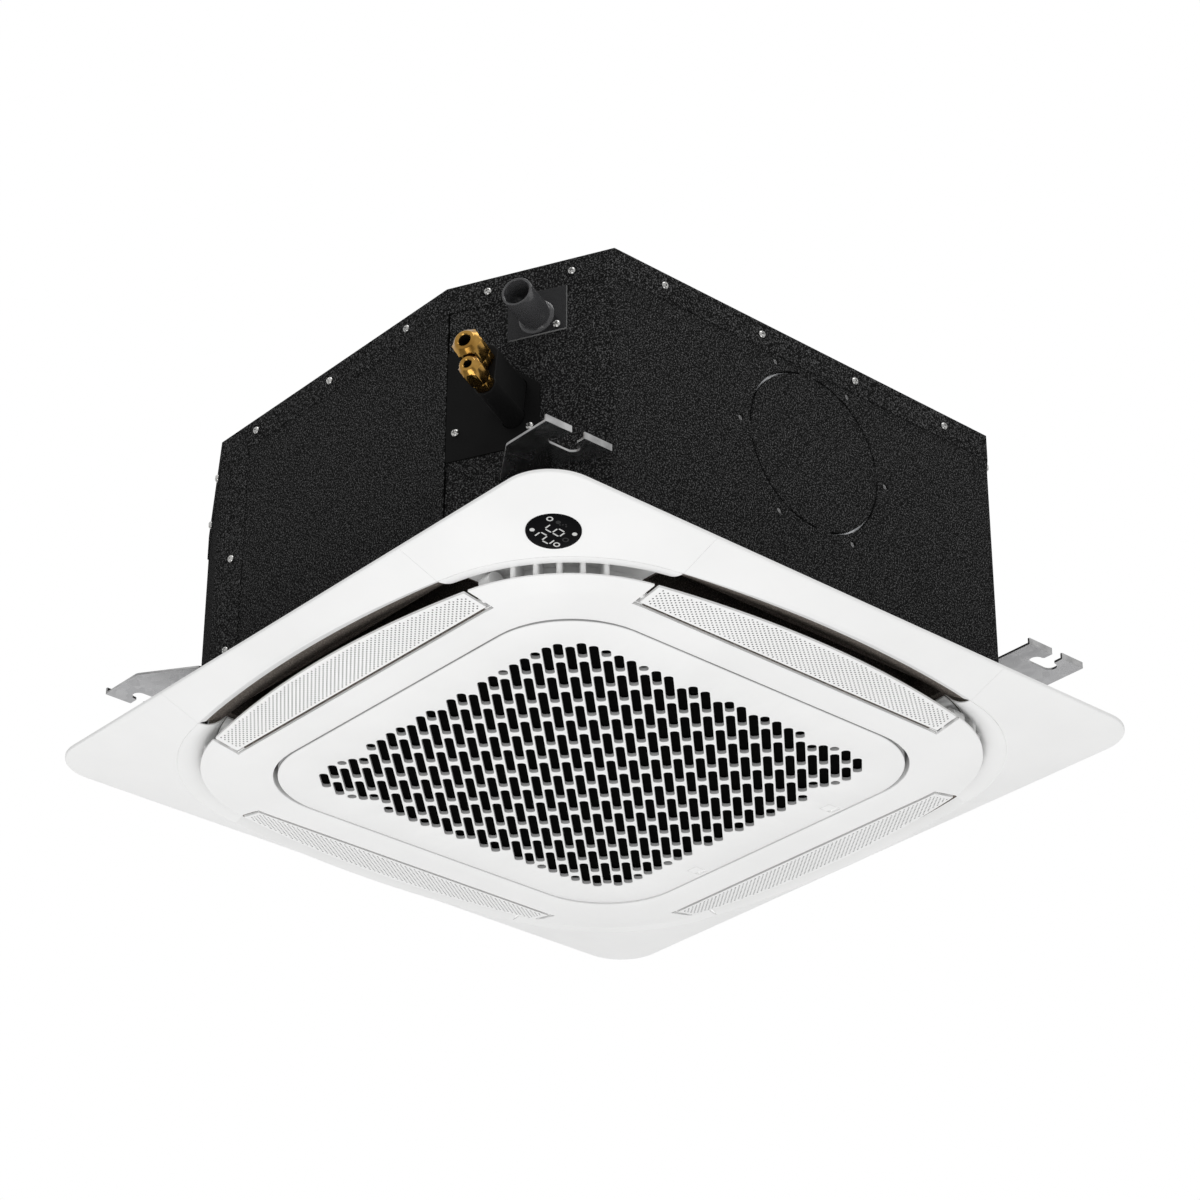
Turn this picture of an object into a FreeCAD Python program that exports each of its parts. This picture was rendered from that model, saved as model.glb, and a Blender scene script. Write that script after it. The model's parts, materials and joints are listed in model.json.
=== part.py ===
import FreeCAD, Part
import math
import os

# Four-way ceiling cassette air conditioner, seen with its panel below and its body above the ceiling.
# Millimetres, +Z up, origin at the panel's centre on the ceiling plane.
# The near corner, with the pipes and the display, is at -X -Y.

# Panel: outer flange, ring slot and centre face
PANEL_SIZE = 647.0
PANEL_CORNER_R = 40.0
PANEL_EDGE = 3.0
SKIN = 2.5
RIM_HALF = 301.0
RIM_DIAGONAL = 344.0
RIM_CORNER_R = 150.0
RIM_DROP = 17.0
CHANNEL_LEAN = 35.0
CHANNEL_CORNER_LEAN = 32.0
SLOT_WIDTH = 20.0
FACE_DROP = 26.0
FACE_DISH = 4.5
FACE_FLAT_HALF = 239.0
FACE_FLAT_R = 85.0
CORNER_SEAM = 155.0
SEAM_GAP = 0.4
WEB_INSET = 18.0
VANES_PER_CORNER = 7
VANE_STEP_DEG = 7.2
VANE_THICK = 2.0

# Louvres
LOUVRE_LENGTH = 321.0
LOUVRE_END_GAP = 4.0
LOUVRE_WALL_GAP = 4.0
LOUVRE_AXIS_OUT = 6.5
LOUVRE_AXIS_UP = 5.5
LOUVRE_BEAD_R = 3.5
LOUVRE_PIN_R = 2.0
LOUVRE_EAR = 5.0
LOUVRE_EAR_GAP = 1.0
LOUVRE_BOSS = 0.8
LOUVRE_BOSS_GAP = 0.3
RUNNING_CLEARANCE = 0.05
LOUVRE_MOTOR_R = 8.0
LOUVRE_MOTOR_LENGTH = 12.0
LOUVRE_MOTOR_SHIFT_OUT = 3.0
LOUVRE_MOTOR_SHIFT_UP = 7.5

# Return grille, filter, hinge and latches
GRILLE_HALF = 206.0
GRILLE_CORNER_R = 52.0
GRILLE_GAP = 2.0
GRILLE_CORNER_EASE = 4.0
GRILLE_SKIRT = 2.0
GRILLE_SKIRT_HEIGHT = 11.5
SLOT_FIELD_HALF = 172.0
SLOT_FIELD_R = 40.0
SLOT_PITCH_ACROSS = 9.2
SLOT_PITCH_ALONG = 49.4
SLOT_LONG = 43.5
SLOT_WIDE = 6.8
SLOT_SHORTEST = 6.0
HINGE_IN = 16.0
HINGE_UP = 4.0
HINGE_SPACING = 206.0
HINGE_PIN_R = 1.0
HINGE_EYE_HALF = 2.2
HINGE_POST = 6.0
HINGE_EAR = 2.5
HINGE_SIDE_GAP = 0.4
LATCH_SPACING = 166.0
LATCH_WIDTH = 18.0
LATCH_LENGTH = 17.0
LATCH_THICK = 3.2
LATCH_TONGUE = 9.0
LATCH_TONGUE_WIDTH = 12.0
LATCH_TRAVEL = 5.5
LATCH_SLIDE_GAP = 0.3
LATCH_PAD_LENGTH = 8.0
LATCH_PAD_WIDTH = 11.0
LATCH_RAIL = 2.0
LATCH_EDGE = 8.0
FILTER_HALF = 178.0
FILTER_CORNER_R = 24.0
FILTER_BAR = 6.0
FILTER_HEIGHT = 6.0
FILTER_MESH = 0.6

# Display in the near corner cover
DISPLAY_R = 21.0
DISPLAY_DIAGONAL = 373.5
DISPLAY_LENS = 3.0
DISPLAY_PROUD = 0.3
DISPLAY_BOARD = 1.6
DISPLAY_GAP = 0.2
DISPLAY_CUT = 12.0

# Seal and body shell
SEAL_THICK = 3.0
BODY_SIZE = 570.0
BODY_HEIGHT = 249.0
NEAR_CHAMFER_X = 62.0
NEAR_CHAMFER_Y = 130.0
RIGHT_CHAMFER = 91.0
LEFT_CHAMFER_X = 83.0
LEFT_CHAMFER_Y = 136.0
FAR_CHAMFER = 91.0
SHEET = 1.0
FOAM = 4.0
LINER = 14.0
BAND_HEIGHT = 24.0
STRIP_WIDTH = 30.0
STRIP_CORNER_GAP = 10.0
KNOCKOUT_R = 70.0
KNOCKOUT_X = -10.0
KNOCKOUT_Z = 150.0
KNOCKOUT_LINE = 2.0
KNOCKOUT_ARCS = 4
KNOCKOUT_ARC_DEG = 78.0
DUCT_HOLE_CIRCLE_R = 80.0
DUCT_HOLE_R = 3.0
DUCT_HOLES = 6

# Drain pan, inlet and control box
PAN_HEIGHT = 53.0
PAN_TROUGH = 10.0
OUTLET_LENGTH = 300.0
OUTLET_IN = 222.0
OUTLET_WIDTH = 40.0
INLET_R = 134.0
INLET_FLANGE = 15.0
THROAT_R = 104.0
BELL_HEIGHT = 83.0
BELL_WALL = 2.5
BELL_STRAIGHT = 25.0
BELL_LEAD = 9.0
BELL_LEAD_UP = 18.0
CONTROL_LENGTH = 180.0
CONTROL_WIDTH = 53.0
CONTROL_HEIGHT = 37.0
CONTROL_Y = 153.0
CONTROL_SHEET = 1.2
CONTROL_POST_IN = 4.8
CONTROL_POST_R = 2.4
BOARD_THICK = 1.6
BOARD_STANDOFF = 4.0
BOARD_MARGIN = 2.4
TERMINAL_LENGTH = 60.0
TERMINAL_WIDTH = 18.0
TERMINAL_HEIGHT = 14.0

# Fan and motor
FAN_R = 145.0
FAN_BOTTOM = 78.0
FAN_TOP = 198.0
FAN_EYE_R = 112.0
FAN_WALL = 2.5
FAN_SHOULDER_GAP = 10.0
FAN_SHROUD_RISE = 26.4
FAN_LIP = 10.0
FAN_BACK_DROP = 10.0
FAN_BLADES = 7
BLADE_INNER_R = 84.0
BLADE_THICK = 3.0
BLADE_LEAN_DEG = 52.0
BLADE_BOW = 11.4
BLADE_SLANT = 10.0
HUB_BOSS_R = 14.0
HUB_BOSS_LENGTH = 28.0
HUB_BOSS_BOTTOM = 122.0
MOTOR_R = 62.0
MOTOR_BOTTOM = 180.0
MOTOR_HEIGHT = 58.0
MOTOR_LUG_Z = 206.0
MOTOR_LUG = 4.0
MOTOR_LUG_CIRCLE_R = 72.0
MOTOR_LUGS = 3
BUSH_R = 9.0
STUD_R = 4.0
SHAFT_R = 6.0
FAN_NUT_ACROSS = 17.0
FAN_NUT_HEIGHT = 9.0

# Heat exchanger
COIL_OUTER = 212.0
COIL_DEPTH = 34.0
COIL_CORNER_R = 60.0
COIL_TOP_GAP = 4.0
COIL_OPEN = 110.0
FIN_PITCH = 14.0
FIN_GROOVE = 3.0
FIN_GROOVE_DEPTH = 4.0
END_PLATE = 2.0
END_PLATE_LIP = 4.0
BEND_R = 10.5
COIL_TUBE_R = 4.75
COIL_TUBE_SIDES = 8
BENDS_PER_END = 4
BEND_PITCH = 42.0
BEND_FIRST_UP = 24.0
TUBE_CORNER_STEPS = 2
HEADER_R = 9.0
HEADER_LENGTH = 158.0
DISTRIBUTOR_R = 6.0
DISTRIBUTOR_LENGTH = 119.0
HEADER_UP = 20.0
HEADER_STANDOFF = 22.0
STUB_R = 3.2
HEADER_STUBS = 3

# Pipes, sleeve and connections on the near chamfer, along it from its left end and up from the ceiling
GAS_ALONG = 57.0
GAS_Z = 136.0
GAS_PIPE_R = 4.76
GAS_NUT_ACROSS = 22.0
GAS_SPIGOT_R = 7.5
GAS_NOSE_R = 7.9
LIQUID_ALONG = 60.0
LIQUID_Z = 114.0
LIQUID_PIPE_R = 3.18
LIQUID_NUT_ACROSS = 17.0
LIQUID_SPIGOT_R = 5.8
LIQUID_NOSE_R = 6.1
PIPE_FIT = 0.04
PIPE_INSIDE = 60.0
PIPE_BEND = 18.0
SLEEVE_GAS_R = 15.0
SLEEVE_LIQUID_R = 9.0
SLEEVE_OUT = 52.0
SLEEVE_FIT = 0.3
UNION_HEX = 10.0
UNION_STEP = 2.0
UNION_SEAT = 1.2
UNION_SPIGOT = 10.0
NUT_LENGTH = 17.0
NUT_NOSE = 4.0
NUT_CLEARANCE = 0.13
PLATE_THICK = 1.5
PLATE_LEFT = 3.0
PLATE_RIGHT = 82.0
PLATE_BOTTOM = 87.0
PLATE_TOP = 187.0
PLATE_RIGHT_TOP = 140.0
PLATE_CUT_WIDE = 58.0
PLATE_SCREWS = ((11.0, 112.0), (74.0, 103.0), (30.0, 172.0))
PLATE_HOLE_GAP = 0.6
WINDOW_MARGIN = 3.0
DRAIN_ALONG = 79.0
DRAIN_Z = 201.0
DRAIN_R = 12.5
DRAIN_BORE_R = 10.5
DRAIN_LENGTH = 38.5
DRAIN_FLANGE_WIDE = 50.0
DRAIN_FLANGE_HIGH = 40.0
DRAIN_FLANGE_UP = 4.0
DRAIN_SCREW_EDGE = 5.0
DRAIN_COLLAR_R = 15.5
DRAIN_COLLAR = 2.0

# Drain pump, hose and float
PUMP_X = -226.0
PUMP_Y = -150.0
PUMP_R = 24.0
PUMP_HEIGHT = 46.0
PUMP_MOTOR_R = 17.0
PUMP_MOTOR_HEIGHT = 24.0
HOSE_R = 8.0
HOSE_BEND = 26.0
HOSE_SIDES = 12
FLOAT_X = -152.0
FLOAT_Y = -212.0
FLOAT_R = 13.0
FLOAT_HEIGHT = 20.0
FLOAT_TRAVEL = 12.0
FLOAT_STEM_R = 3.0
FLOAT_STOP_R = 6.0
FLOAT_STOP = 4.0
FLOAT_TOP_GAP = 15.0
FLOAT_BRACKET = 2.0
FLOAT_BRACKET_WIDTH = 16.0

# Hangers and panel bolts
HANGER_PITCH_X = 523.0
HANGER_PITCH_Y = 545.0
HANGER_Z = 60.0
HANGER_SHEET = 2.0
HANGER_LIP = 6.0
HANGER_LIP_OUT = 16.0
HANGER_SIDE_OUT = 31.5
HANGER_SIDE_IN = 33.5
HANGER_STRAIGHT = 46.0
HANGER_SLOT_WIDE = 12.0
HANGER_SLOT_LONG = 28.0
HANGER_TAB_WIDE = 40.0
HANGER_FOOT_Z = 12.0
HANGER_FOOT_WIDE = 24.0
HANGER_FOOT_OUT = 30.0
BOLT_OUT = 18.0
BOLT_R = 3.0
BOLT_CLEARANCE = 0.2
BOLT_ACROSS = 10.0
BOLT_HEAD = 4.0
BOLT_NUT = 5.0
BOLT_PAST_NUT = 3.0

# Small screws
SCREW_HEAD_R = 4.0
SCREW_HEAD = 2.4
SCREW_R = 1.7
SCREW_SIDES = 6
SCREW_GAP = 0.1
SCREW_IN_FOAM = 3.0
BAND_SCREW_DOWN = 12.0
BAND_SCREWS = (4, 2, 3, 2, 4, 2, 3, 2)
STRIP_SCREW_HEIGHTS = (38.0, 124.0)

UP = FreeCAD.Vector(0, 0, 1)
ORIGIN = FreeCAD.Vector(0, 0, 0)

# Levels and halves worked out from the sizes above
PANEL_HALF = PANEL_SIZE / 2
BODY_HALF = BODY_SIZE / 2
FACE_Z = -FACE_DROP
RIM_Z = -RIM_DROP
BOUND_Z = FACE_Z + FACE_DISH
FACE_TOP = FACE_Z + SKIN
BODY_BOTTOM = SEAL_THICK
COVER_UNDER = BODY_HEIGHT - SHEET
BAND_BOTTOM = BODY_HEIGHT - BAND_HEIGHT
PAN_TOP = BODY_BOTTOM + PAN_HEIGHT
TROUGH_Z = PAN_TOP - PAN_TROUGH
FLOAT_BRACKET_Z = TROUGH_Z + 2 * FLOAT_STOP + FLOAT_HEIGHT + FLOAT_TRAVEL + FLOAT_TOP_GAP
COIL_TOP = COVER_UNDER - COIL_TOP_GAP
COIL_INNER = COIL_OUTER - COIL_DEPTH
OPENING_HALF = GRILLE_HALF + GRILLE_GAP
OPENING_R = GRILLE_CORNER_R + GRILLE_GAP - GRILLE_CORNER_EASE
FOAM_INSET = SHEET
WALL_INSET = FOAM_INSET + FOAM
LINER_INSET = WALL_INSET + SHEET
INSIDE_INSET = LINER_INSET + LINER


def vec(x, y, z=0.0):
    return FreeCAD.Vector(x, y, z)


def turned(shape, degrees):
    """A copy turned about the panel's upright centre line."""
    copy = shape.copy()
    copy.rotate(ORIGIN, UP, degrees)
    return copy


def raised(shape, height):
    copy = shape.copy()
    copy.translate(vec(0, 0, height))
    return copy


def block(x0, x1, y0, y1, z0, z1):
    corner = vec(min(x0, x1), min(y0, y1), min(z0, z1))
    return Part.makeBox(abs(x1 - x0), abs(y1 - y0), abs(z1 - z0), corner)


def rod(radius, start, direction, length):
    return Part.makeCylinder(radius, length, start, direction)


def ring(outer_r, inner_r, start, direction, length):
    return rod(outer_r, start, direction, length).cut(rod(inner_r, start, direction, length))


def fused(shapes):
    return shapes[0].multiFuse(shapes[1:]).removeSplitter()


def polygon(points):
    return Part.makePolygon(points + [points[0]])


def prism(wire, height):
    return Part.Face(wire).extrude(vec(0, 0, height))


def sided_prism(sides, radius, start, direction, length):
    """A prism with a regular outline, standing on start and growing along direction."""
    place = FreeCAD.Placement(start, FreeCAD.Rotation(UP, direction))
    points = []
    for k in range(sides):
        angle = 2 * math.pi * k / sides
        points.append(place.multVec(vec(radius * math.cos(angle), radius * math.sin(angle))))
    return Part.Face(polygon(points)).extrude(direction * length)


def hexagon(across, start, direction, length):
    return sided_prism(6, across / math.sqrt(3), start, direction, length)


def arc(centre, radius, start_deg, end_deg):
    points = []
    for degrees in (start_deg, (start_deg + end_deg) / 2, end_deg):
        angle = math.radians(degrees)
        points.append(centre + vec(radius * math.cos(angle), radius * math.sin(angle)))
    return Part.Arc(*points).toShape()


def rounded_square(half, radius, z):
    """A square with round corners: four sides and four arcs, starting on the +X side."""
    straight = half - radius
    edges = []
    for k in range(4):
        side = Part.makeLine(vec(half, -straight, z), vec(half, straight, z))
        edges.append(turned(side, 90 * k))
        edges.append(turned(arc(vec(straight, straight, z), radius, 0, 90), 90 * k))
    return Part.Wire(edges)


def bowed_square(half, diagonal, radius, z):
    """A square with bowed sides and round corners, all tangent arcs, starting on the +X side."""
    corner = (diagonal - radius) / math.sqrt(2)
    rise = half - corner
    side_r = (rise ** 2 + corner ** 2 - radius ** 2) / (2 * (rise - radius))
    reach = math.degrees(math.atan2(corner, corner - half + side_r))
    edges = []
    for k in range(4):
        edges.append(turned(arc(vec(half - side_r, 0, z), side_r, -reach, reach), 90 * k))
        edges.append(turned(arc(vec(corner, corner, z), radius, reach, 90 - reach), 90 * k))
    return Part.Wire(edges)


def rim_outline(grow, z):
    return bowed_square(RIM_HALF + grow, RIM_DIAGONAL + grow, RIM_CORNER_R + grow, z)


def channel_outline(grow, z):
    half = RIM_HALF - CHANNEL_LEAN + grow
    diagonal = RIM_DIAGONAL - CHANNEL_CORNER_LEAN + grow
    return bowed_square(half, diagonal, RIM_CORNER_R - SLOT_WIDTH / 2 + grow, z)


def face_bound(z):
    return rim_outline(-SLOT_WIDTH, z)


def loft(wires):
    return Part.makeLoft(wires, True, True)


def square_ring(half, radius, wall, z, height):
    outer = prism(rounded_square(half, radius, z), height)
    return outer.cut(prism(rounded_square(half - wall, radius - wall, z), height))


def bent_tube(points, radius, bend):
    """A round tube along straight runs joined by tangent arcs."""
    edges = []
    last = points[0]
    for before, here, after in zip(points, points[1:], points[2:]):
        back = (before - here).normalize()
        ahead = (after - here).normalize()
        half_turn = (math.pi - back.getAngle(ahead)) / 2
        trim = bend * math.tan(half_turn)
        middle = (back + ahead).normalize()
        apex = here + middle * (bend / math.cos(half_turn) - bend)
        edges.append(Part.makeLine(last, here + back * trim))
        edges.append(Part.Arc(here + back * trim, apex, here + ahead * trim).toShape())
        last = here + ahead * trim
    edges.append(Part.makeLine(last, points[-1]))
    start = (points[1] - points[0]).normalize()
    profile = Part.Wire(Part.makeCircle(radius, points[0], start))
    return Part.Wire(edges).makePipeShell([profile], True, False)


def eased(points, bend):
    """A route whose corners are cut into short runs that touch an arc of the given radius."""
    route = [points[0]]
    for before, here, after in zip(points, points[1:], points[2:]):
        back = (before - here).normalize()
        ahead = (after - here).normalize()
        half_turn = (math.pi - back.getAngle(ahead)) / 2
        middle = (back + ahead).normalize()
        side = (ahead - back).normalize()
        centre = here + middle * (bend / math.cos(half_turn))
        reach = bend / math.cos(half_turn / TUBE_CORNER_STEPS)
        for k in range(TUBE_CORNER_STEPS):
            angle = half_turn * ((2 * k + 1) / TUBE_CORNER_STEPS - 1)
            route.append(centre - middle * (reach * math.cos(angle)) + side * (reach * math.sin(angle)))
    return route + [points[-1]]


def mitred_tube(points, radius, sides):
    """A tube with a many-sided section along straight runs, mitred where they meet."""
    runs = [(end - start).normalize() for start, end in zip(points, points[1:])]
    place = FreeCAD.Placement(points[0], FreeCAD.Rotation(UP, runs[0]))
    corners = []
    for k in range(sides):
        angle = 2 * math.pi * k / sides
        corners.append(place.multVec(vec(radius * math.cos(angle), radius * math.sin(angle))))
    sections = [polygon(corners)]
    for k, run in enumerate(runs):
        normal = run + runs[min(k + 1, len(runs) - 1)]
        end = points[k + 1]
        corners = [corner + run * ((end - corner).dot(normal) / run.dot(normal)) for corner in corners]
        sections.append(polygon(corners))
    return loft(sections)


def revolved(points):
    """A solid of revolution about the centre line, from radius and height pairs."""
    wire = polygon([vec(r, 0, z) for r, z in points])
    return Part.Face(wire).revolve(ORIGIN, UP, 360)


# Body plan: an octagon with unequal chamfers, counter-clockwise from the near end of the -Y face
BODY_CORNERS = [
    vec(-BODY_HALF + NEAR_CHAMFER_X, -BODY_HALF),
    vec(BODY_HALF - RIGHT_CHAMFER, -BODY_HALF),
    vec(BODY_HALF, -BODY_HALF + RIGHT_CHAMFER),
    vec(BODY_HALF, BODY_HALF - FAR_CHAMFER),
    vec(BODY_HALF - FAR_CHAMFER, BODY_HALF),
    vec(-BODY_HALF + LEFT_CHAMFER_X, BODY_HALF),
    vec(-BODY_HALF, BODY_HALF - LEFT_CHAMFER_Y),
    vec(-BODY_HALF, -BODY_HALF + NEAR_CHAMFER_Y),
]


class Wall:
    """One flat side of the body: where it starts, its run, its way out and its length."""

    def __init__(self, index):
        self.start = BODY_CORNERS[index]
        self.end = BODY_CORNERS[(index + 1) % len(BODY_CORNERS)]
        self.run = (self.end - self.start).normalize()
        self.out = self.run.cross(UP)
        self.length = (self.end - self.start).Length

    def at(self, along, z, out=0.0):
        return self.start + self.run * along + self.out * out + vec(0, 0, z)

    def slab(self, along0, along1, z0, z1, out0, out1):
        """A block lying on the wall."""
        corners = []
        for along, out in ((along0, out0), (along1, out0), (along1, out1), (along0, out1)):
            corners.append(self.at(along, z0, out))
        return prism(polygon(corners), z1 - z0)


WALLS = [Wall(k) for k in range(len(BODY_CORNERS))]
FRONT = WALLS[0]
LEFT = WALLS[6]
NEAR = WALLS[7]
CHAMFERS = {"near": WALLS[7], "right": WALLS[1], "far": WALLS[3], "left": WALLS[5]}


def body_outline(inset, z):
    """The body's octagon moved in by the same distance on every side."""
    points = []
    for k, wall in enumerate(WALLS):
        before = WALLS[k - 1]
        shift = wall.out * -inset
        slide = (before.out * -inset - shift).dot(before.out) / wall.run.dot(before.out)
        points.append(wall.start + shift + wall.run * slide + vec(0, 0, z))
    return polygon(points)


def body_prism(inset, z0, z1):
    return prism(body_outline(inset, z0), z1 - z0)


def body_ring(outer_inset, inner_inset, z0, z1):
    return body_prism(outer_inset, z0, z1).cut(body_prism(inner_inset, z0, z1))


def screw(seat, out, length):
    """A pan-head screw: its head outside the seat and its shank inside."""
    head = sided_prism(SCREW_SIDES, SCREW_HEAD_R, seat, out, SCREW_HEAD)
    shank = sided_prism(SCREW_SIDES, SCREW_R, seat - out * length, out, length)
    return fused([head, shank])


def screw_hole(seat, out, length):
    reach = length + SCREW_GAP
    return sided_prism(SCREW_SIDES, SCREW_R + SCREW_GAP, seat - out * reach, out, reach + SCREW_HEAD)


def near_point(along, z, out):
    """A point on the near chamfer, measured from its left end."""
    return NEAR.at(along, z, out)


PARTS = {}


def keep(name, shape):
    PARTS[name] = shape


# Screw seats: evenly spaced round the cover band, then on the seam strip, the pipe plate and the drain flange
def band_seats():
    seats = []
    for wall, count in zip(WALLS, BAND_SCREWS):
        for k in range(count):
            along = wall.length * (k + 0.5) / count
            seats.append((wall.at(along, BODY_HEIGHT - BAND_SCREW_DOWN), wall.out))
    return seats


def strip_seats():
    along = STRIP_CORNER_GAP + STRIP_WIDTH / 2
    return [(LEFT.at(along, height), LEFT.out) for height in STRIP_SCREW_HEIGHTS]


def plate_seats():
    out = PLATE_THICK - FOAM_INSET
    return [(near_point(along, z, out), NEAR.out) for along, z in PLATE_SCREWS]


def drain_seats():
    out = DRAIN_COLLAR - FOAM_INSET
    wide = DRAIN_FLANGE_WIDE / 2 - 2 * SCREW_HEAD_R
    high = DRAIN_FLANGE_HIGH / 2 - DRAIN_SCREW_EDGE
    middle = DRAIN_Z + DRAIN_FLANGE_UP
    low = near_point(DRAIN_ALONG + wide, middle - high, out)
    top = near_point(DRAIN_ALONG - wide, middle + high, out)
    return [(low, NEAR.out), (top, NEAR.out)]


def all_seats():
    """Every small screw with how far its shank goes in."""
    seats = [(seat, out, SHEET + SCREW_IN_FOAM) for seat, out in band_seats() + strip_seats()]
    seats += [(seat, out, PLATE_THICK + SCREW_IN_FOAM) for seat, out in plate_seats()]
    seats += [(seat, out, DRAIN_COLLAR + SCREW_IN_FOAM) for seat, out in drain_seats()]
    return seats


def screw_holes():
    return Part.makeCompound([screw_hole(*seat) for seat in all_seats()])


def knockout_arcs():
    """The broken line cut in the foam round the fresh-air disc."""
    centre = vec(KNOCKOUT_X, -BODY_HALF, KNOCKOUT_Z)
    depth = WALL_INSET
    cuts = []
    for k in range(KNOCKOUT_ARCS):
        angle = KNOCKOUT_ARC_DEG
        outer = Part.makeCylinder(KNOCKOUT_R + KNOCKOUT_LINE / 2, depth, centre, FRONT.out * -1, angle)
        inner = rod(KNOCKOUT_R - KNOCKOUT_LINE / 2, centre, FRONT.out * -1, depth)
        piece = outer.cut(inner)
        piece.rotate(centre, FRONT.out, 360.0 * k / KNOCKOUT_ARCS)
        cuts.append(piece)
    return Part.makeCompound(cuts)


def duct_holes():
    """Six screw holes for a fresh-air duct, through the foam and the sheet."""
    centre = vec(KNOCKOUT_X, -BODY_HALF, KNOCKOUT_Z)
    depth = LINER_INSET
    cuts = []
    for k in range(DUCT_HOLES):
        angle = 2 * math.pi * k / DUCT_HOLES
        offset = vec(math.cos(angle), 0, math.sin(angle)) * DUCT_HOLE_CIRCLE_R
        cuts.append(rod(DUCT_HOLE_R, centre + offset, FRONT.out * -1, depth))
    return Part.makeCompound(cuts)


def pipe_window():
    """The opening behind the pipe plate, and the one behind the drain flange."""
    inward = NEAR.out * -2 * INSIDE_INSET
    pipes = Part.Face(sleeve_outline(WINDOW_MARGIN, -FOAM_INSET)).extrude(inward)
    drain_base = near_point(DRAIN_ALONG, DRAIN_Z, -FOAM_INSET)
    drain = rod(HOSE_R + WINDOW_MARGIN, drain_base, inward, inward.Length)
    return Part.makeCompound([pipes, drain])


def build_shell():
    holes = screw_holes()
    window = pipe_window()
    cover = body_prism(0, COVER_UNDER, BODY_HEIGHT).fuse(body_ring(0, SHEET, BAND_BOTTOM, COVER_UNDER))
    keep("top_cover", cover.removeSplitter().cut(holes))
    foam = body_ring(FOAM_INSET, WALL_INSET, BODY_BOTTOM, COVER_UNDER)
    keep("outer_insulation", foam.cut(holes).cut(window).cut(knockout_arcs()).cut(duct_holes()))
    wall = body_ring(WALL_INSET, LINER_INSET, BODY_BOTTOM, COVER_UNDER)
    keep("casing_wall", wall.cut(window).cut(duct_holes()))
    liner = body_ring(LINER_INSET, INSIDE_INSET, PAN_TOP, COVER_UNDER)
    keep("inner_liner", liner.cut(window))
    along0 = STRIP_CORNER_GAP
    strip = LEFT.slab(along0, along0 + STRIP_WIDTH, BODY_BOTTOM, BAND_BOTTOM, -FOAM_INSET, 0)
    keep("seam_strip", strip.cut(holes))
    keep("casing_screws", Part.makeCompound([screw(*seat) for seat in all_seats()]))


# Panel solids shared by the frame, the corner covers and the louvres
def flange_solid():
    edge = rounded_square(PANEL_HALF, PANEL_CORNER_R, 0)
    low_edge = rounded_square(PANEL_HALF, PANEL_CORNER_R, -PANEL_EDGE)
    return loft([edge, low_edge, rim_outline(0, RIM_Z)])


def flange_hollow():
    half = PANEL_HALF - SKIN
    radius = PANEL_CORNER_R - SKIN
    edge = rounded_square(half, radius, 0)
    low_edge = rounded_square(half, radius, SKIN / 2 - PANEL_EDGE)
    return loft([edge, low_edge, rim_outline(SKIN / 2, RIM_Z + SKIN)])


def channel_solid(grow):
    return loft([rim_outline(grow, RIM_Z), channel_outline(grow, 0)])


def dish_solid():
    return loft([rounded_square(FACE_FLAT_HALF, FACE_FLAT_R, FACE_Z), face_bound(BOUND_Z)])


def dish_plate():
    """The dished centre face that the louvres are flush with."""
    return dish_solid().cut(raised(dish_solid(), SKIN))


def corner_block(quarter, grow):
    low = CORNER_SEAM - grow
    return turned(block(low, PANEL_SIZE, low, PANEL_SIZE, -FACE_DROP, SEAL_THICK), 90 * quarter)


CORNERS = {"far": 0, "left": 1, "near": 2, "right": 3}
SIDES = {"east": 0, "north": 1, "west": 2, "south": 3}
LOUVRE_AXIS_R = FACE_FLAT_HALF + LOUVRE_AXIS_OUT
LOUVRE_AXIS_Z = FACE_Z + LOUVRE_AXIS_UP
LOUVRE_HALF = LOUVRE_LENGTH / 2
WINDOW_HALF = LOUVRE_HALF + LOUVRE_END_GAP
EAR_IN = LOUVRE_HALF + LOUVRE_EAR_GAP
EAR_OUT = EAR_IN + LOUVRE_EAR
HINGE_X = -(GRILLE_HALF - HINGE_IN)
HINGE_Z = FACE_Z + HINGE_UP
HINGE_YS = (-HINGE_SPACING / 2, HINGE_SPACING / 2)
LATCH_YS = (-LATCH_SPACING / 2, LATCH_SPACING / 2)
LATCH_Z = FACE_TOP + LATCH_SLIDE_GAP
LATCH_TIP_X = GRILLE_HALF
LATCH_SLAB_X = LATCH_TIP_X - LATCH_TONGUE
KEEPER_Z = LATCH_Z + LATCH_THICK / 2


def panel_bolt_points():
    return [wall.at(wall.length / 2, 0, BOLT_OUT) for wall in CHAMFERS.values()]


def corner_vanes():
    """Air guide vanes across the slot at each corner, pointing out from the corner's centre."""
    centre = (RIM_DIAGONAL - RIM_CORNER_R) / math.sqrt(2)
    bound_r = RIM_CORNER_R - SLOT_WIDTH
    inner = bound_r - SLOT_WIDTH
    half = VANE_THICK / 2
    side = polygon([
        vec(inner, -half, BOUND_Z), vec(bound_r, -half, BOUND_Z), vec(RIM_CORNER_R, -half, RIM_Z),
        vec(RIM_CORNER_R, -half, -SKIN), vec(inner, -half, -SKIN),
    ])
    vanes = []
    for quarter in range(4):
        for k in range(VANES_PER_CORNER):
            vane = Part.Face(side).extrude(vec(0, VANE_THICK, 0))
            vane.rotate(ORIGIN, UP, 45 + VANE_STEP_DEG * (k - (VANES_PER_CORNER - 1) / 2))
            vane.translate(vec(centre, centre))
            vanes.append(turned(vane, 90 * quarter))
    below = prism(rim_outline(0, FACE_Z), FACE_DROP - RIM_DROP)
    return Part.makeCompound(vanes).common(below.fuse(channel_solid(0))).cut(dish_solid())


def louvre_window():
    return block(FACE_FLAT_HALF, RIM_HALF, -WINDOW_HALF, WINDOW_HALF, FACE_Z, 0)


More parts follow.
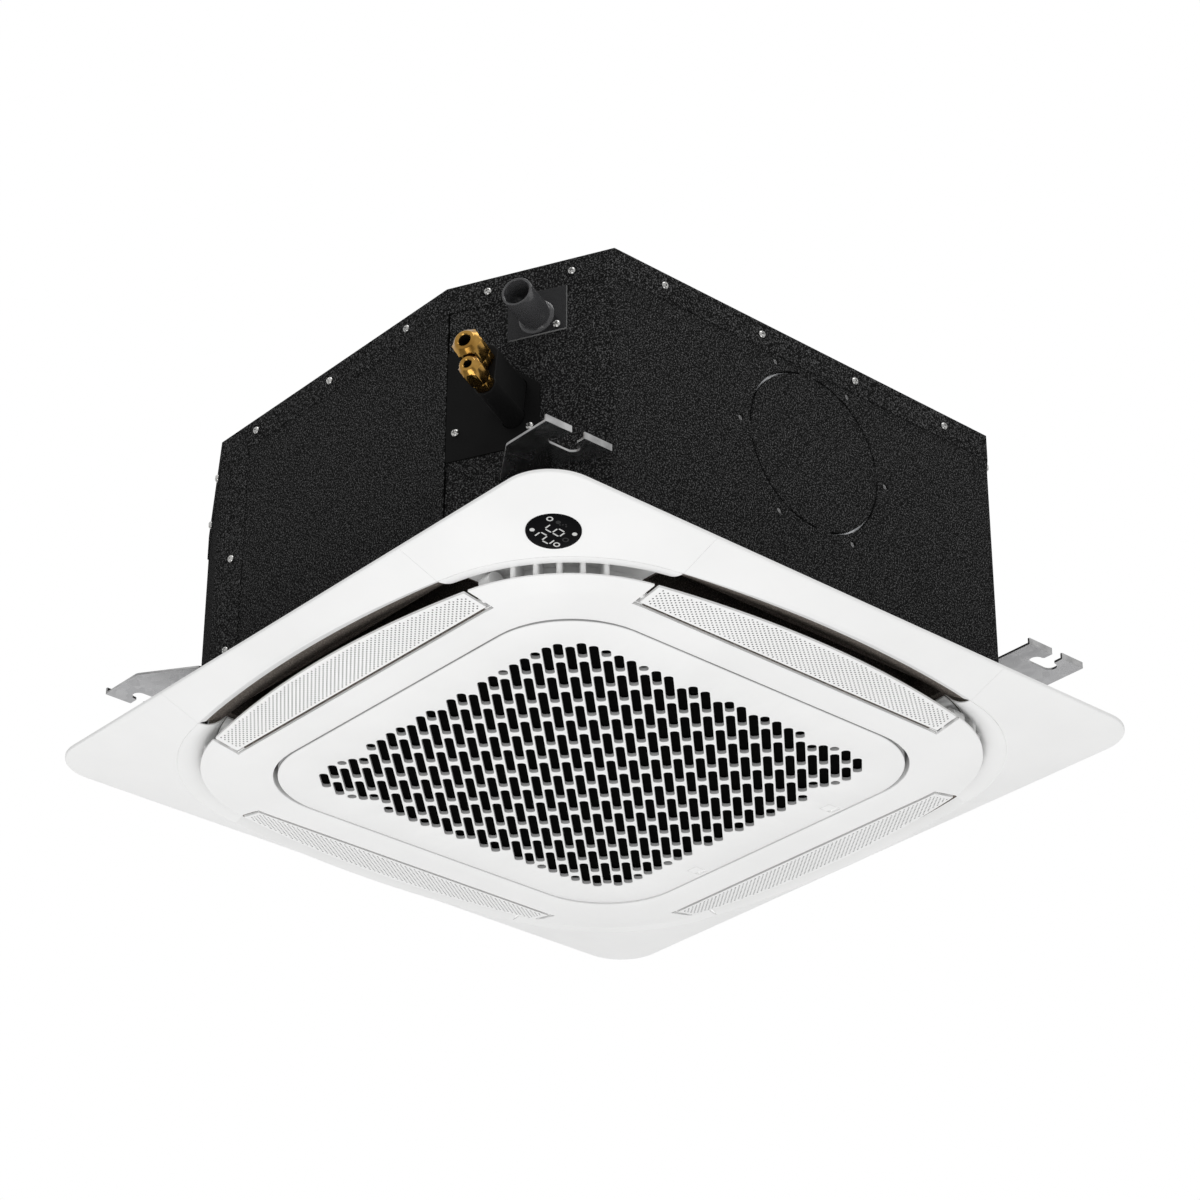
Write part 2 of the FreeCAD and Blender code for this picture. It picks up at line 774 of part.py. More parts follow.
def louvre_ear(sign):
    low_z = FACE_Z + LOUVRE_AXIS_UP - LOUVRE_BEAD_R
    return block(FACE_FLAT_HALF - SKIN, LOUVRE_AXIS_R + LOUVRE_AXIS_UP, sign * EAR_IN, sign * EAR_OUT,
                 low_z, LOUVRE_AXIS_Z + LOUVRE_AXIS_UP)


def louvre_axis_rod(radius, y0, y1):
    return rod(radius, vec(LOUVRE_AXIS_R, y0, LOUVRE_AXIS_Z), vec(0, 1, 0), y1 - y0)


def hinge_post(y):
    half = HINGE_POST / 2
    top = block(HINGE_X - HINGE_EYE_HALF, HINGE_X + HINGE_EYE_HALF, y - half, y + half, HINGE_Z, 0)
    eye = rod(HINGE_EYE_HALF, vec(HINGE_X, y - half, HINGE_Z), vec(0, 1, 0), HINGE_POST)
    bridge = block(-OPENING_HALF - SKIN, HINGE_X, y - half, y + half, -SKIN, 0)
    bore = rod(HINGE_PIN_R + RUNNING_CLEARANCE, vec(HINGE_X, y - half, HINGE_Z), vec(0, 1, 0), HINGE_POST)
    return fused([top, eye, bridge]).cut(bore)


def corner_web(quarter):
    web = prism(rounded_square(PANEL_HALF - WEB_INSET, PANEL_CORNER_R - WEB_INSET, -SKIN), SKIN)
    return web.common(corner_block(quarter, 0))


def build_panel():
    flange = flange_solid()
    void = channel_solid(0)
    wall = channel_solid(SKIN).common(flange).cut(void)
    skin = flange.cut(flange_hollow()).cut(channel_solid(SKIN))
    corners = Part.makeCompound([corner_block(k, 0) for k in range(4)])
    webs = [corner_web(k).cut(channel_solid(SKIN)) for k in range(4)]
    plate = dish_plate()
    face = plate.cut(Part.makeCompound([turned(louvre_window(), 90 * k) for k in range(4)]))
    face = face.cut(prism(rounded_square(OPENING_HALF, OPENING_R, FACE_Z), FACE_DROP))
    inner_wall = square_ring(FACE_FLAT_HALF, FACE_FLAT_R, SKIN, FACE_TOP, -FACE_TOP)
    well = square_ring(OPENING_HALF + SKIN, OPENING_R + SKIN, SKIN, FACE_Z, FACE_DROP)
    rim = square_ring(FACE_FLAT_HALF, FACE_FLAT_R, FACE_FLAT_HALF - OPENING_HALF, -SKIN, SKIN)
    ears = [turned(louvre_ear(sign), 90 * k) for k in range(4) for sign in (-1, 1)]
    posts = [hinge_post(y) for y in HINGE_YS]
    pieces = [wall, skin.cut(corners), face, inner_wall, well, rim, corner_vanes()]
    frame = fused(pieces + webs + ears + posts)
    bores = [turned(louvre_axis_rod(LOUVRE_PIN_R + RUNNING_CLEARANCE, -EAR_OUT, EAR_OUT), 90 * k)
             for k in range(4)]
    boss_room = LOUVRE_PIN_R + LOUVRE_BOSS + LOUVRE_BOSS_GAP
    boss_end = EAR_OUT + LOUVRE_EAR_GAP + LOUVRE_MOTOR_LENGTH + LOUVRE_BOSS_GAP
    bores += [turned(louvre_axis_rod(boss_room, EAR_OUT, boss_end), 90 * k) for k in range(4)]
    bores += [rod(BOLT_R + BOLT_CLEARANCE, spot + vec(0, 0, -SKIN), UP, SKIN) for spot in panel_bolt_points()]
    for y in LATCH_YS:
        half = LATCH_TONGUE_WIDTH / 2 + LATCH_SLIDE_GAP
        rise = LATCH_THICK / 2 + LATCH_SLIDE_GAP
        bores.append(block(OPENING_HALF, OPENING_HALF + SKIN, y - half, y + half,
                           KEEPER_Z - rise, KEEPER_Z + rise))
    keep("panel_frame", frame.cut(Part.makeCompound(bores)))
    build_corner_covers(skin)
    build_louvres(plate)
    build_seal()


def display_place():
    """Where the display sits on the sloping corner and which way it looks."""
    along = DISPLAY_DIAGONAL / math.sqrt(2)
    outer = (PANEL_HALF - PANEL_CORNER_R) * math.sqrt(2) + PANEL_CORNER_R
    slope = (RIM_DROP - PANEL_EDGE) / (outer - RIM_DIAGONAL)
    z = -PANEL_EDGE - (outer - DISPLAY_DIAGONAL) * slope
    tilt = math.atan(slope)
    inward = math.sin(tilt) / math.sqrt(2)
    look = vec(-inward, -inward, -math.cos(tilt))
    return vec(-along, -along, z), look


def build_corner_covers(skin):
    spot, look = display_place()
    for name, quarter in CORNERS.items():
        cover = skin.common(corner_block(quarter, -SEAM_GAP))
        if name == "near":
            cover = cover.cut(rod(DISPLAY_R + DISPLAY_GAP, spot - look * DISPLAY_CUT / 2, look, DISPLAY_CUT))
        keep("corner_cover_" + name, cover)
    back = spot + look * (DISPLAY_PROUD - DISPLAY_LENS)
    keep("display_lens", rod(DISPLAY_R, back, look, DISPLAY_LENS))
    keep("display_board", rod(DISPLAY_R, back - look * DISPLAY_BOARD, look, DISPLAY_BOARD))


def build_louvres(plate):
    inner = FACE_FLAT_HALF + LOUVRE_WALL_GAP
    blank = plate.common(block(inner, RIM_HALF, -LOUVRE_HALF, LOUVRE_HALF, FACE_Z, 0))
    bead = louvre_axis_rod(LOUVRE_BEAD_R, -LOUVRE_HALF, LOUVRE_HALF)
    motor_face = EAR_OUT + LOUVRE_EAR_GAP
    pin = louvre_axis_rod(LOUVRE_PIN_R, -EAR_OUT, motor_face + LOUVRE_EAR)
    louvre = fused([blank, bead, pin])
    start = vec(LOUVRE_AXIS_R + LOUVRE_MOTOR_SHIFT_OUT, motor_face, LOUVRE_AXIS_Z + LOUVRE_MOTOR_SHIFT_UP)
    can = rod(LOUVRE_MOTOR_R, start, vec(0, 1, 0), LOUVRE_MOTOR_LENGTH)
    boss = louvre_axis_rod(LOUVRE_PIN_R + LOUVRE_BOSS, EAR_OUT, motor_face + LOUVRE_MOTOR_LENGTH)
    socket = louvre_axis_rod(LOUVRE_PIN_R + RUNNING_CLEARANCE, EAR_OUT, motor_face + LOUVRE_EAR)
    motor = fused([can, boss]).cut(socket)
    for name, quarter in SIDES.items():
        keep("louvre_" + name, turned(louvre, 90 * quarter))
    keep("louvre_motors", Part.makeCompound([turned(motor, 90 * k) for k in range(4)]))


def outlet_opening(z, height):
    half = OUTLET_LENGTH / 2
    return block(OUTLET_IN, OUTLET_IN + OUTLET_WIDTH, -half, half, z, z + height)


def outlets(z, height):
    return Part.makeCompound([turned(outlet_opening(z, height), 90 * k) for k in range(4)])


def build_seal():
    seal = body_prism(LINER_INSET, 0, SEAL_THICK)
    seal = seal.cut(prism(rounded_square(OPENING_HALF + SKIN, OPENING_R + SKIN, 0), SEAL_THICK))
    keep("panel_seal", seal.cut(outlets(0, SEAL_THICK)))


# Return grille
def slot_reach(across):
    """How far a slot column may run each way before it leaves the round-cornered field."""
    straight = SLOT_FIELD_HALF - SLOT_FIELD_R
    flat = SLOT_FIELD_HALF * math.sqrt(2) - abs(across)
    corner_span = SLOT_FIELD_R / math.sqrt(2)
    low_turn = straight * math.sqrt(2)
    reach = flat
    if abs(across) < corner_span:
        reach = low_turn + math.sqrt(SLOT_FIELD_R ** 2 - across ** 2)
    side_gap = abs(across) - low_turn
    if side_gap > 0:
        reach = min(reach, math.sqrt(max(SLOT_FIELD_R ** 2 - side_gap ** 2, 0)))
    return reach


def grille_slots():
    """Brick-bonded slots lying along the near-to-far diagonal, cut short at the edge of their field."""
    wires = []
    columns = int(SLOT_FIELD_HALF * math.sqrt(2) / SLOT_PITCH_ACROSS)
    rows = int(SLOT_FIELD_HALF * math.sqrt(2) / SLOT_PITCH_ALONG) + 1
    half_wide = SLOT_WIDE / 2
    for column in range(-columns, columns + 1):
        across = column * SLOT_PITCH_ACROSS
        reach = min(slot_reach(across - half_wide), slot_reach(across + half_wide))
        stagger = SLOT_PITCH_ALONG / 2 * (column % 2)
        for row in range(-rows, rows + 1):
            middle = row * SLOT_PITCH_ALONG + stagger
            low = max(middle - SLOT_LONG / 2, -reach)
            high = min(middle + SLOT_LONG / 2, reach)
            if high - low < SLOT_SHORTEST:
                continue
            corners = []
            for along, side in ((low, -1), (high, -1), (high, 1), (low, 1)):
                cross = across + side * half_wide
                corners.append(vec((along + cross) / math.sqrt(2), (along - cross) / math.sqrt(2), FACE_Z))
            wires.append(polygon(corners))
    return wires


def latch_window(y):
    half = LATCH_PAD_WIDTH / 2 + LATCH_SLIDE_GAP
    x1 = LATCH_TIP_X - LATCH_EDGE - LATCH_PAD_LENGTH - LATCH_SLIDE_GAP
    x2 = LATCH_TIP_X - LATCH_EDGE + LATCH_TRAVEL + LATCH_SLIDE_GAP
    return block(x1, x2, y - half, y + half, FACE_Z, FACE_TOP)


def latch_rails(y):
    """Two guide rails with lips that hold a latch down on the grille's back."""
    rails = []
    x0 = LATCH_SLAB_X - LATCH_LENGTH
    x1 = LATCH_SLAB_X + LATCH_TRAVEL - LATCH_SLIDE_GAP
    top = LATCH_Z + LATCH_THICK + LATCH_SLIDE_GAP
    for sign in (-1, 1):
        inner = y + sign * (LATCH_WIDTH / 2 + LATCH_SLIDE_GAP)
        outer = inner + sign * LATCH_RAIL
        lip = inner - sign * LATCH_RAIL
        rails.append(block(x0, x1, inner, outer, FACE_TOP, top + LATCH_RAIL))
        rails.append(block(x0, x1, lip, outer, top, top + LATCH_RAIL))
    return rails


def hinge_ears(y):
    ears = []
    bottom = FACE_TOP - SKIN / 2
    for sign in (-1, 1):
        near = y + sign * (HINGE_POST / 2 + HINGE_SIDE_GAP)
        far = near + sign * HINGE_EAR
        ears.append(block(HINGE_X - HINGE_EYE_HALF, HINGE_X + HINGE_EYE_HALF, near, far,
                          bottom, HINGE_Z + HINGE_EYE_HALF))
    return ears


def build_grille():
    outline = rounded_square(GRILLE_HALF, GRILLE_CORNER_R, FACE_Z)
    plate = Part.Face([outline] + grille_slots()).extrude(vec(0, 0, SKIN))
    plate = plate.cut(Part.makeCompound([latch_window(y) for y in LATCH_YS]))
    skirt = square_ring(GRILLE_HALF, GRILLE_CORNER_R, GRILLE_SKIRT, FACE_TOP, GRILLE_SKIRT_HEIGHT)
    cuts = []
    for y in HINGE_YS:
        half = HINGE_POST / 2 + HINGE_EAR + 2 * GRILLE_GAP
        cuts.append(block(-GRILLE_HALF, HINGE_X, y - half, y + half, FACE_TOP, 0))
    for y in LATCH_YS:
        half = LATCH_TONGUE_WIDTH / 2 + LATCH_SLIDE_GAP
        rise = LATCH_THICK / 2 + LATCH_SLIDE_GAP
        cuts.append(block(LATCH_SLAB_X, GRILLE_HALF, y - half, y + half, KEEPER_Z - rise, KEEPER_Z + rise))
    skirt = skirt.cut(Part.makeCompound(cuts))
    pieces = [plate, skirt]
    for y in LATCH_YS:
        pieces += latch_rails(y)
    for y in HINGE_YS:
        pieces += hinge_ears(y)
    grille = fused(pieces)
    span = HINGE_POST + 2 * (HINGE_SIDE_GAP + HINGE_EAR)
    starts = [vec(HINGE_X, y - span / 2, HINGE_Z) for y in HINGE_YS]
    bores = [rod(HINGE_PIN_R + PIPE_FIT, start, vec(0, 1, 0), span) for start in starts]
    pocket = HINGE_POST + 2 * HINGE_SIDE_GAP
    for y in HINGE_YS:
        start = vec(HINGE_X, y - pocket / 2, HINGE_Z)
        bores.append(rod(HINGE_EYE_HALF + HINGE_SIDE_GAP, start, vec(0, 1, 0), pocket))
    keep("return_grille", grille.cut(Part.makeCompound(bores)))
    keep("hinge_pins", Part.makeCompound([rod(HINGE_PIN_R, start, vec(0, 1, 0), span) for start in starts]))
    for name, y in zip(("right", "left"), LATCH_YS):
        keep("grille_latch_" + name, latch(y))
    build_filter()


def latch(y):
    """A sliding latch drawn released: its tongue ends flush with the grille's edge."""
    half = LATCH_WIDTH / 2
    slab = block(LATCH_SLAB_X - LATCH_LENGTH, LATCH_SLAB_X, y - half, y + half,
                 LATCH_Z, LATCH_Z + LATCH_THICK)
    half = LATCH_TONGUE_WIDTH / 2
    tongue = block(LATCH_SLAB_X, LATCH_TIP_X, y - half, y + half, LATCH_Z, LATCH_Z + LATCH_THICK)
    half = LATCH_PAD_WIDTH / 2
    pad_end = LATCH_TIP_X - LATCH_EDGE
    pad = block(pad_end - LATCH_PAD_LENGTH, pad_end, y - half, y + half, FACE_Z, LATCH_Z)
    return fused([slab, tongue, pad])


def build_filter():
    z = FACE_TOP
    frame = square_ring(FILTER_HALF, FILTER_CORNER_R, FILTER_BAR, z, FILTER_HEIGHT)
    mesh_half = FILTER_HALF - FILTER_BAR
    mesh_z = z + FILTER_HEIGHT / 2
    mesh = prism(rounded_square(mesh_half, FILTER_CORNER_R - FILTER_BAR, mesh_z), FILTER_MESH)
    bars = []
    for k in range(2):
        bar = block(-mesh_half, mesh_half, -FILTER_BAR / 2, FILTER_BAR / 2, mesh_z, z + FILTER_HEIGHT)
        bars.append(turned(bar, 90 * k))
    keep("air_filter", fused([frame, mesh] + bars))


# Drain pan, bell mouth and control box
def build_pan():
    pan = body_prism(LINER_INSET, BODY_BOTTOM, PAN_TOP)
    cuts = [outlets(BODY_BOTTOM, PAN_HEIGHT), rod(INLET_R, vec(0, 0, BODY_BOTTOM), UP, PAN_HEIGHT)]
    cuts.append(rod(INLET_R + INLET_FLANGE, vec(0, 0, BODY_BOTTOM), UP, BELL_WALL))
    margin = END_PLATE_LIP + END_PLATE
    trough = square_ring(COIL_OUTER + margin, COIL_CORNER_R + margin, COIL_DEPTH + 2 * margin,
                         TROUGH_Z, PAN_TROUGH)
    sump = block(-BODY_HALF, -COIL_OPEN, -BODY_HALF, -COIL_OPEN, TROUGH_Z, PAN_TOP)
    sump = sump.common(body_prism(INSIDE_INSET, TROUGH_Z, PAN_TOP))
    cuts += [trough, sump]
    half = CONTROL_LENGTH / 2
    cuts.append(block(-half, half, CONTROL_Y, CONTROL_Y + CONTROL_WIDTH,
                      BODY_BOTTOM, BODY_BOTTOM + CONTROL_HEIGHT))
    keep("drain_pan", pan.cut(Part.makeCompound(cuts)))


def build_bell_mouth():
    """The inlet ring: a flange under the pan, a flared mouth and a straight throat."""
    bottom = BODY_BOTTOM
    turn = bottom + BELL_HEIGHT - BELL_STRAIGHT
    wall = BELL_WALL
    keep("bell_mouth", revolved([
        (INLET_R + INLET_FLANGE, bottom), (INLET_R + INLET_FLANGE, bottom + wall), (INLET_R, bottom + wall),
        (THROAT_R + wall + BELL_LEAD, bottom + wall + BELL_LEAD_UP), (THROAT_R + wall, turn),
        (THROAT_R + wall, bottom + BELL_HEIGHT), (THROAT_R, bottom + BELL_HEIGHT), (THROAT_R, turn),
        (THROAT_R + BELL_LEAD, bottom + BELL_LEAD_UP), (INLET_R - wall, bottom),
    ]))


def build_control():
    half = CONTROL_LENGTH / 2
    y1 = CONTROL_Y + CONTROL_WIDTH
    top = BODY_BOTTOM + CONTROL_HEIGHT
    sheet = CONTROL_SHEET
    tray = block(-half, half, CONTROL_Y, y1, BODY_BOTTOM + sheet, top)
    tray = tray.cut(block(-half + sheet, half - sheet, CONTROL_Y + sheet, y1 - sheet,
                          BODY_BOTTOM, top - sheet))
    board_top = top - sheet - BOARD_STANDOFF
    posts = []
    for x in (-half + CONTROL_POST_IN, half - CONTROL_POST_IN):
        for y in (CONTROL_Y + CONTROL_POST_IN, y1 - CONTROL_POST_IN):
            posts.append(rod(CONTROL_POST_R, vec(x, y, board_top), UP, BOARD_STANDOFF))
    keep("control_box", fused([tray] + posts))
    keep("control_box_lid", block(-half, half, CONTROL_Y, y1, BODY_BOTTOM, BODY_BOTTOM + sheet))
    board = block(-half + BOARD_MARGIN, half - BOARD_MARGIN, CONTROL_Y + BOARD_MARGIN, y1 - BOARD_MARGIN,
                  board_top - BOARD_THICK, board_top)
    keep("control_board", board)
    middle = CONTROL_Y + CONTROL_WIDTH / 2
    low = board_top - BOARD_THICK - TERMINAL_HEIGHT
    terminal = block(-TERMINAL_LENGTH / 2, TERMINAL_LENGTH / 2, middle - TERMINAL_WIDTH / 2,
                     middle + TERMINAL_WIDTH / 2, low, board_top - BOARD_THICK)
    keep("terminal_block", terminal)


# Fan and motor
def fan_blade():
    """One backward-leaning blade: a curved plate from the eye to the rim."""
    lean = math.radians(BLADE_LEAN_DEG)
    start = vec(BLADE_INNER_R, 0)
    end = vec(FAN_R * math.cos(lean), FAN_R * math.sin(lean))
    chord = end - start
    side = vec(chord.y, -chord.x).normalize()
    middle = (start + end) / 2 + side * BLADE_BOW
    thick = side * BLADE_THICK
    edges = [
        Part.Arc(start, middle, end).toShape(),
        Part.makeLine(end, end + thick),
        Part.Arc(end + thick, middle + thick, start + thick).toShape(),
        Part.makeLine(start + thick, start),
    ]
    blade = Part.Face(Part.Wire(edges)).extrude(vec(0, 0, FAN_TOP - FAN_BOTTOM))
    return raised(blade, FAN_BOTTOM)


def build_fan():
    wall = FAN_WALL
    shoulder_r = MOTOR_R + FAN_SHOULDER_GAP
    shoulder_z = MOTOR_BOTTOM - FAN_SHOULDER_GAP
    shroud_z = FAN_BOTTOM + FAN_SHROUD_RISE
    lip_z = FAN_BOTTOM + FAN_LIP
    back_z = FAN_TOP - FAN_BACK_DROP
    cone = revolved([
        (HUB_BOSS_R, HUB_BOSS_BOTTOM), (shoulder_r, shoulder_z), (shoulder_r + 2 * wall, back_z),
        (FAN_R, FAN_TOP - wall), (FAN_R, FAN_TOP), (shoulder_r, FAN_TOP - 2 * wall),
        (shoulder_r - wall, shoulder_z + wall), (HUB_BOSS_R, HUB_BOSS_BOTTOM + 2 * wall),
    ])
    hub_base = vec(0, 0, HUB_BOSS_BOTTOM)
    boss = rod(HUB_BOSS_R, hub_base, UP, HUB_BOSS_LENGTH)
    shroud = revolved([
        (FAN_EYE_R, FAN_BOTTOM), (FAN_EYE_R + wall, FAN_BOTTOM), (FAN_EYE_R + 2 * wall, lip_z),
        (FAN_R, shroud_z), (FAN_R, shroud_z + wall), (FAN_EYE_R, lip_z + 2 * wall),
    ])
    passage = revolved([
        (BLADE_INNER_R, shoulder_z - BLADE_SLANT), (BLADE_INNER_R + BLADE_SLANT, lip_z),
        (FAN_EYE_R + wall, lip_z + wall), (FAN_R, shroud_z + wall / 2), (FAN_R, FAN_TOP - wall / 2),
        (shoulder_r + wall, back_z + wall / 2),
    ])
    blade = fan_blade().common(passage)
    blades = [turned(blade, 360.0 * k / FAN_BLADES) for k in range(FAN_BLADES)]
    wheel = fused([cone, boss, shroud] + blades)
    bore = rod(SHAFT_R + PIPE_FIT, hub_base, UP, HUB_BOSS_LENGTH)
    keep("fan_wheel", wheel.cut(bore))
    shaft_bottom = HUB_BOSS_BOTTOM - FAN_NUT_HEIGHT
    shaft_top = MOTOR_BOTTOM + MOTOR_HEIGHT - 2 * SHAFT_R
    keep("motor_shaft", rod(SHAFT_R, vec(0, 0, shaft_bottom), UP, shaft_top - shaft_bottom))
    nut = hexagon(FAN_NUT_ACROSS, vec(0, 0, shaft_bottom), UP, FAN_NUT_HEIGHT)
    keep("fan_nut", nut.cut(rod(SHAFT_R + PIPE_FIT, vec(0, 0, shaft_bottom), UP, FAN_NUT_HEIGHT)))
    build_motor(shaft_top)


def build_motor(shaft_top):
    can = rod(MOTOR_R, vec(0, 0, MOTOR_BOTTOM), UP, MOTOR_HEIGHT)
    spots = []
    for k in range(MOTOR_LUGS):
        angle = 2 * math.pi * k / MOTOR_LUGS
        reach = vec(math.cos(angle), math.sin(angle)) * MOTOR_LUG_CIRCLE_R
        spots.append(reach + vec(0, 0, MOTOR_LUG_Z))
    lugs = [rod(BUSH_R + MOTOR_LUG, spot, UP, MOTOR_LUG) for spot in spots]
    motor = fused([can] + lugs)
    cuts = [rod(BUSH_R, spot, UP, MOTOR_LUG) for spot in spots]
    cuts.append(rod(SHAFT_R + RUNNING_CLEARANCE, vec(0, 0, MOTOR_BOTTOM), UP, shaft_top - MOTOR_BOTTOM))
    keep("fan_motor", motor.cut(Part.makeCompound(cuts)))
    bushes = [ring(BUSH_R, STUD_R, spot, UP, MOTOR_LUG) for spot in spots]
    keep("motor_bushes", Part.makeCompound(bushes))
    studs = []
    for spot in spots:
        stud = rod(STUD_R, spot, UP, COVER_UNDER - MOTOR_LUG_Z)
        washer = rod(BUSH_R, spot - vec(0, 0, MOTOR_LUG), UP, MOTOR_LUG)
        studs.append(fused([stud, washer]))
    keep("motor_studs", Part.makeCompound(studs))


# Heat exchanger
def fin_grooves():
    """Shallow upright grooves that stand for the fins on the coil's straight outer faces."""
    straight = COIL_OUTER - COIL_CORNER_R
    count = int(2 * straight / FIN_PITCH)
    grooves = []
    for quarter in range(4):
        for k in range(count):
            y = -straight + FIN_PITCH * (k + 0.5)
            groove = block(COIL_OUTER - FIN_GROOVE_DEPTH, COIL_OUTER, y, y + FIN_GROOVE, TROUGH_Z, COIL_TOP)
            grooves.append(turned(groove, 90 * quarter))
    return Part.makeCompound(grooves)


COIL_HEIGHT = COIL_TOP - TROUGH_Z
ROW_OUTER = COIL_OUTER - COIL_DEPTH / 4
ROW_INNER = COIL_OUTER - COIL_DEPTH * 3 / 4
HEADER_X = -COIL_OPEN - END_PLATE - HEADER_STANDOFF


def to_left_end(shape):
    """Swaps the coil end on the -Y side for its twin on the -X side."""
    return shape.mirror(ORIGIN, vec(1, -1, 0).normalize())


def coil_end_plate():
    return block(-COIL_OPEN - END_PLATE, -COIL_OPEN,
                 -COIL_OUTER - END_PLATE_LIP, -COIL_INNER + END_PLATE_LIP, TROUGH_Z, COIL_TOP)


def return_bends():
    """U-bends between neighbouring tubes of the outer row."""
    bends = []
    for k in range(BENDS_PER_END):
        low = vec(-COIL_OPEN - END_PLATE, -ROW_OUTER, TROUGH_Z + BEND_FIRST_UP + k * BEND_PITCH)
        rise = vec(0, 0, 2 * BEND_R)
        reach = vec(-BEND_R, 0)
        route = eased([low, low + reach, low + reach + rise, low + rise], BEND_R)
        bends.append(mitred_tube(route, COIL_TUBE_R, COIL_TUBE_SIDES))
    return bends


def header(radius, height):
    """An upright header with stubs into the coil's end plate."""
    base = vec(HEADER_X, -ROW_INNER, TROUGH_Z + HEADER_UP)
    pieces = [rod(radius, base, UP, height)]
    for k in range(HEADER_STUBS):
        z = height * (k + 0.5) / HEADER_STUBS
        pieces.append(rod(STUB_R, base + vec(0, 0, z), vec(1, 0, 0), HEADER_STANDOFF))
    return fused(pieces)


def build_coil():
    coil = square_ring(COIL_OUTER, COIL_CORNER_R, COIL_DEPTH, TROUGH_Z, COIL_HEIGHT)
    near = block(-BODY_HALF, -COIL_OPEN, -BODY_HALF, -COIL_OPEN, TROUGH_Z, COIL_TOP)
    keep("coil_fins", coil.cut(near).cut(fin_grooves()))
    plate = coil_end_plate()
    inner = -COIL_INNER + END_PLATE_LIP
    outer = -COIL_OPEN - END_PLATE
    corners = [vec(outer, inner, TROUGH_Z), vec(outer + END_PLATE, inner, TROUGH_Z),
               vec(inner, outer + END_PLATE, TROUGH_Z), vec(inner, outer, TROUGH_Z)]
    partition = prism(polygon(corners), COIL_HEIGHT)
    keep("coil_plates", Part.makeCompound([plate, to_left_end(plate), partition]))
    bends = return_bends()
    keep("coil_return_bends", Part.makeCompound(bends + [to_left_end(bend) for bend in bends]))
    keep("gas_header", header(HEADER_R, HEADER_LENGTH))
    keep("liquid_header", to_left_end(header(DISTRIBUTOR_R, DISTRIBUTOR_LENGTH)))


# Pipes and their connections
def connection(along, z, pipe_r, across, spigot_r, nose_r):
    """A union with a socket for its pipe and a narrower flow bore, and the flare nut on its spigot."""
    out = NEAR.out
    at_hex = near_point(along, z, SLEEVE_OUT)
    at_spigot = near_point(along, z, SLEEVE_OUT + UNION_HEX)
    body_hex = hexagon(across - UNION_STEP, at_hex, out, UNION_HEX)
    body = fused([body_hex, rod(spigot_r, at_spigot, out, UNION_SPIGOT)])
    socket = rod(pipe_r + PIPE_FIT, at_hex, out, UNION_HEX)
    flow = rod(pipe_r - UNION_SEAT, at_hex, out, UNION_HEX + UNION_SPIGOT)
    union = body.cut(socket).cut(flow)
    nose = Part.makeCone(across / 2, nose_r, NUT_NOSE, at_spigot + out * NUT_LENGTH, out)
    nut = fused([hexagon(across, at_spigot, out, NUT_LENGTH), nose])
    nut = nut.cut(rod(spigot_r + PIPE_FIT, at_spigot, out, UNION_SPIGOT + PIPE_FIT))
    nut = nut.cut(rod(pipe_r + NUT_CLEARANCE, at_spigot, out, NUT_LENGTH + NUT_NOSE))
    return union, nut


def sleeve_outline(grow, out):
    """The line round both pipes: two circles and the tangents between them."""
    gas = near_point(GAS_ALONG, GAS_Z, out)
    liquid = near_point(LIQUID_ALONG, LIQUID_Z, out)
    big = SLEEVE_GAS_R + grow
    small = SLEEVE_LIQUID_R + grow
    axis = (gas - liquid).normalize()
    side = axis.cross(NEAR.out)
    open_angle = math.acos((small - big) / (gas - liquid).Length)
    left = axis * -math.cos(open_angle) + side * math.sin(open_angle)
    right = axis * -math.cos(open_angle) - side * math.sin(open_angle)
    edges = [
        Part.Arc(gas + left * big, gas + axis * big, gas + right * big).toShape(),
        Part.makeLine(gas + right * big, liquid + right * small),
        Part.Arc(liquid + right * small, liquid - axis * small, liquid + left * small).toShape(),
        Part.makeLine(liquid + left * small, gas + left * big),
    ]
    return Part.Wire(edges)


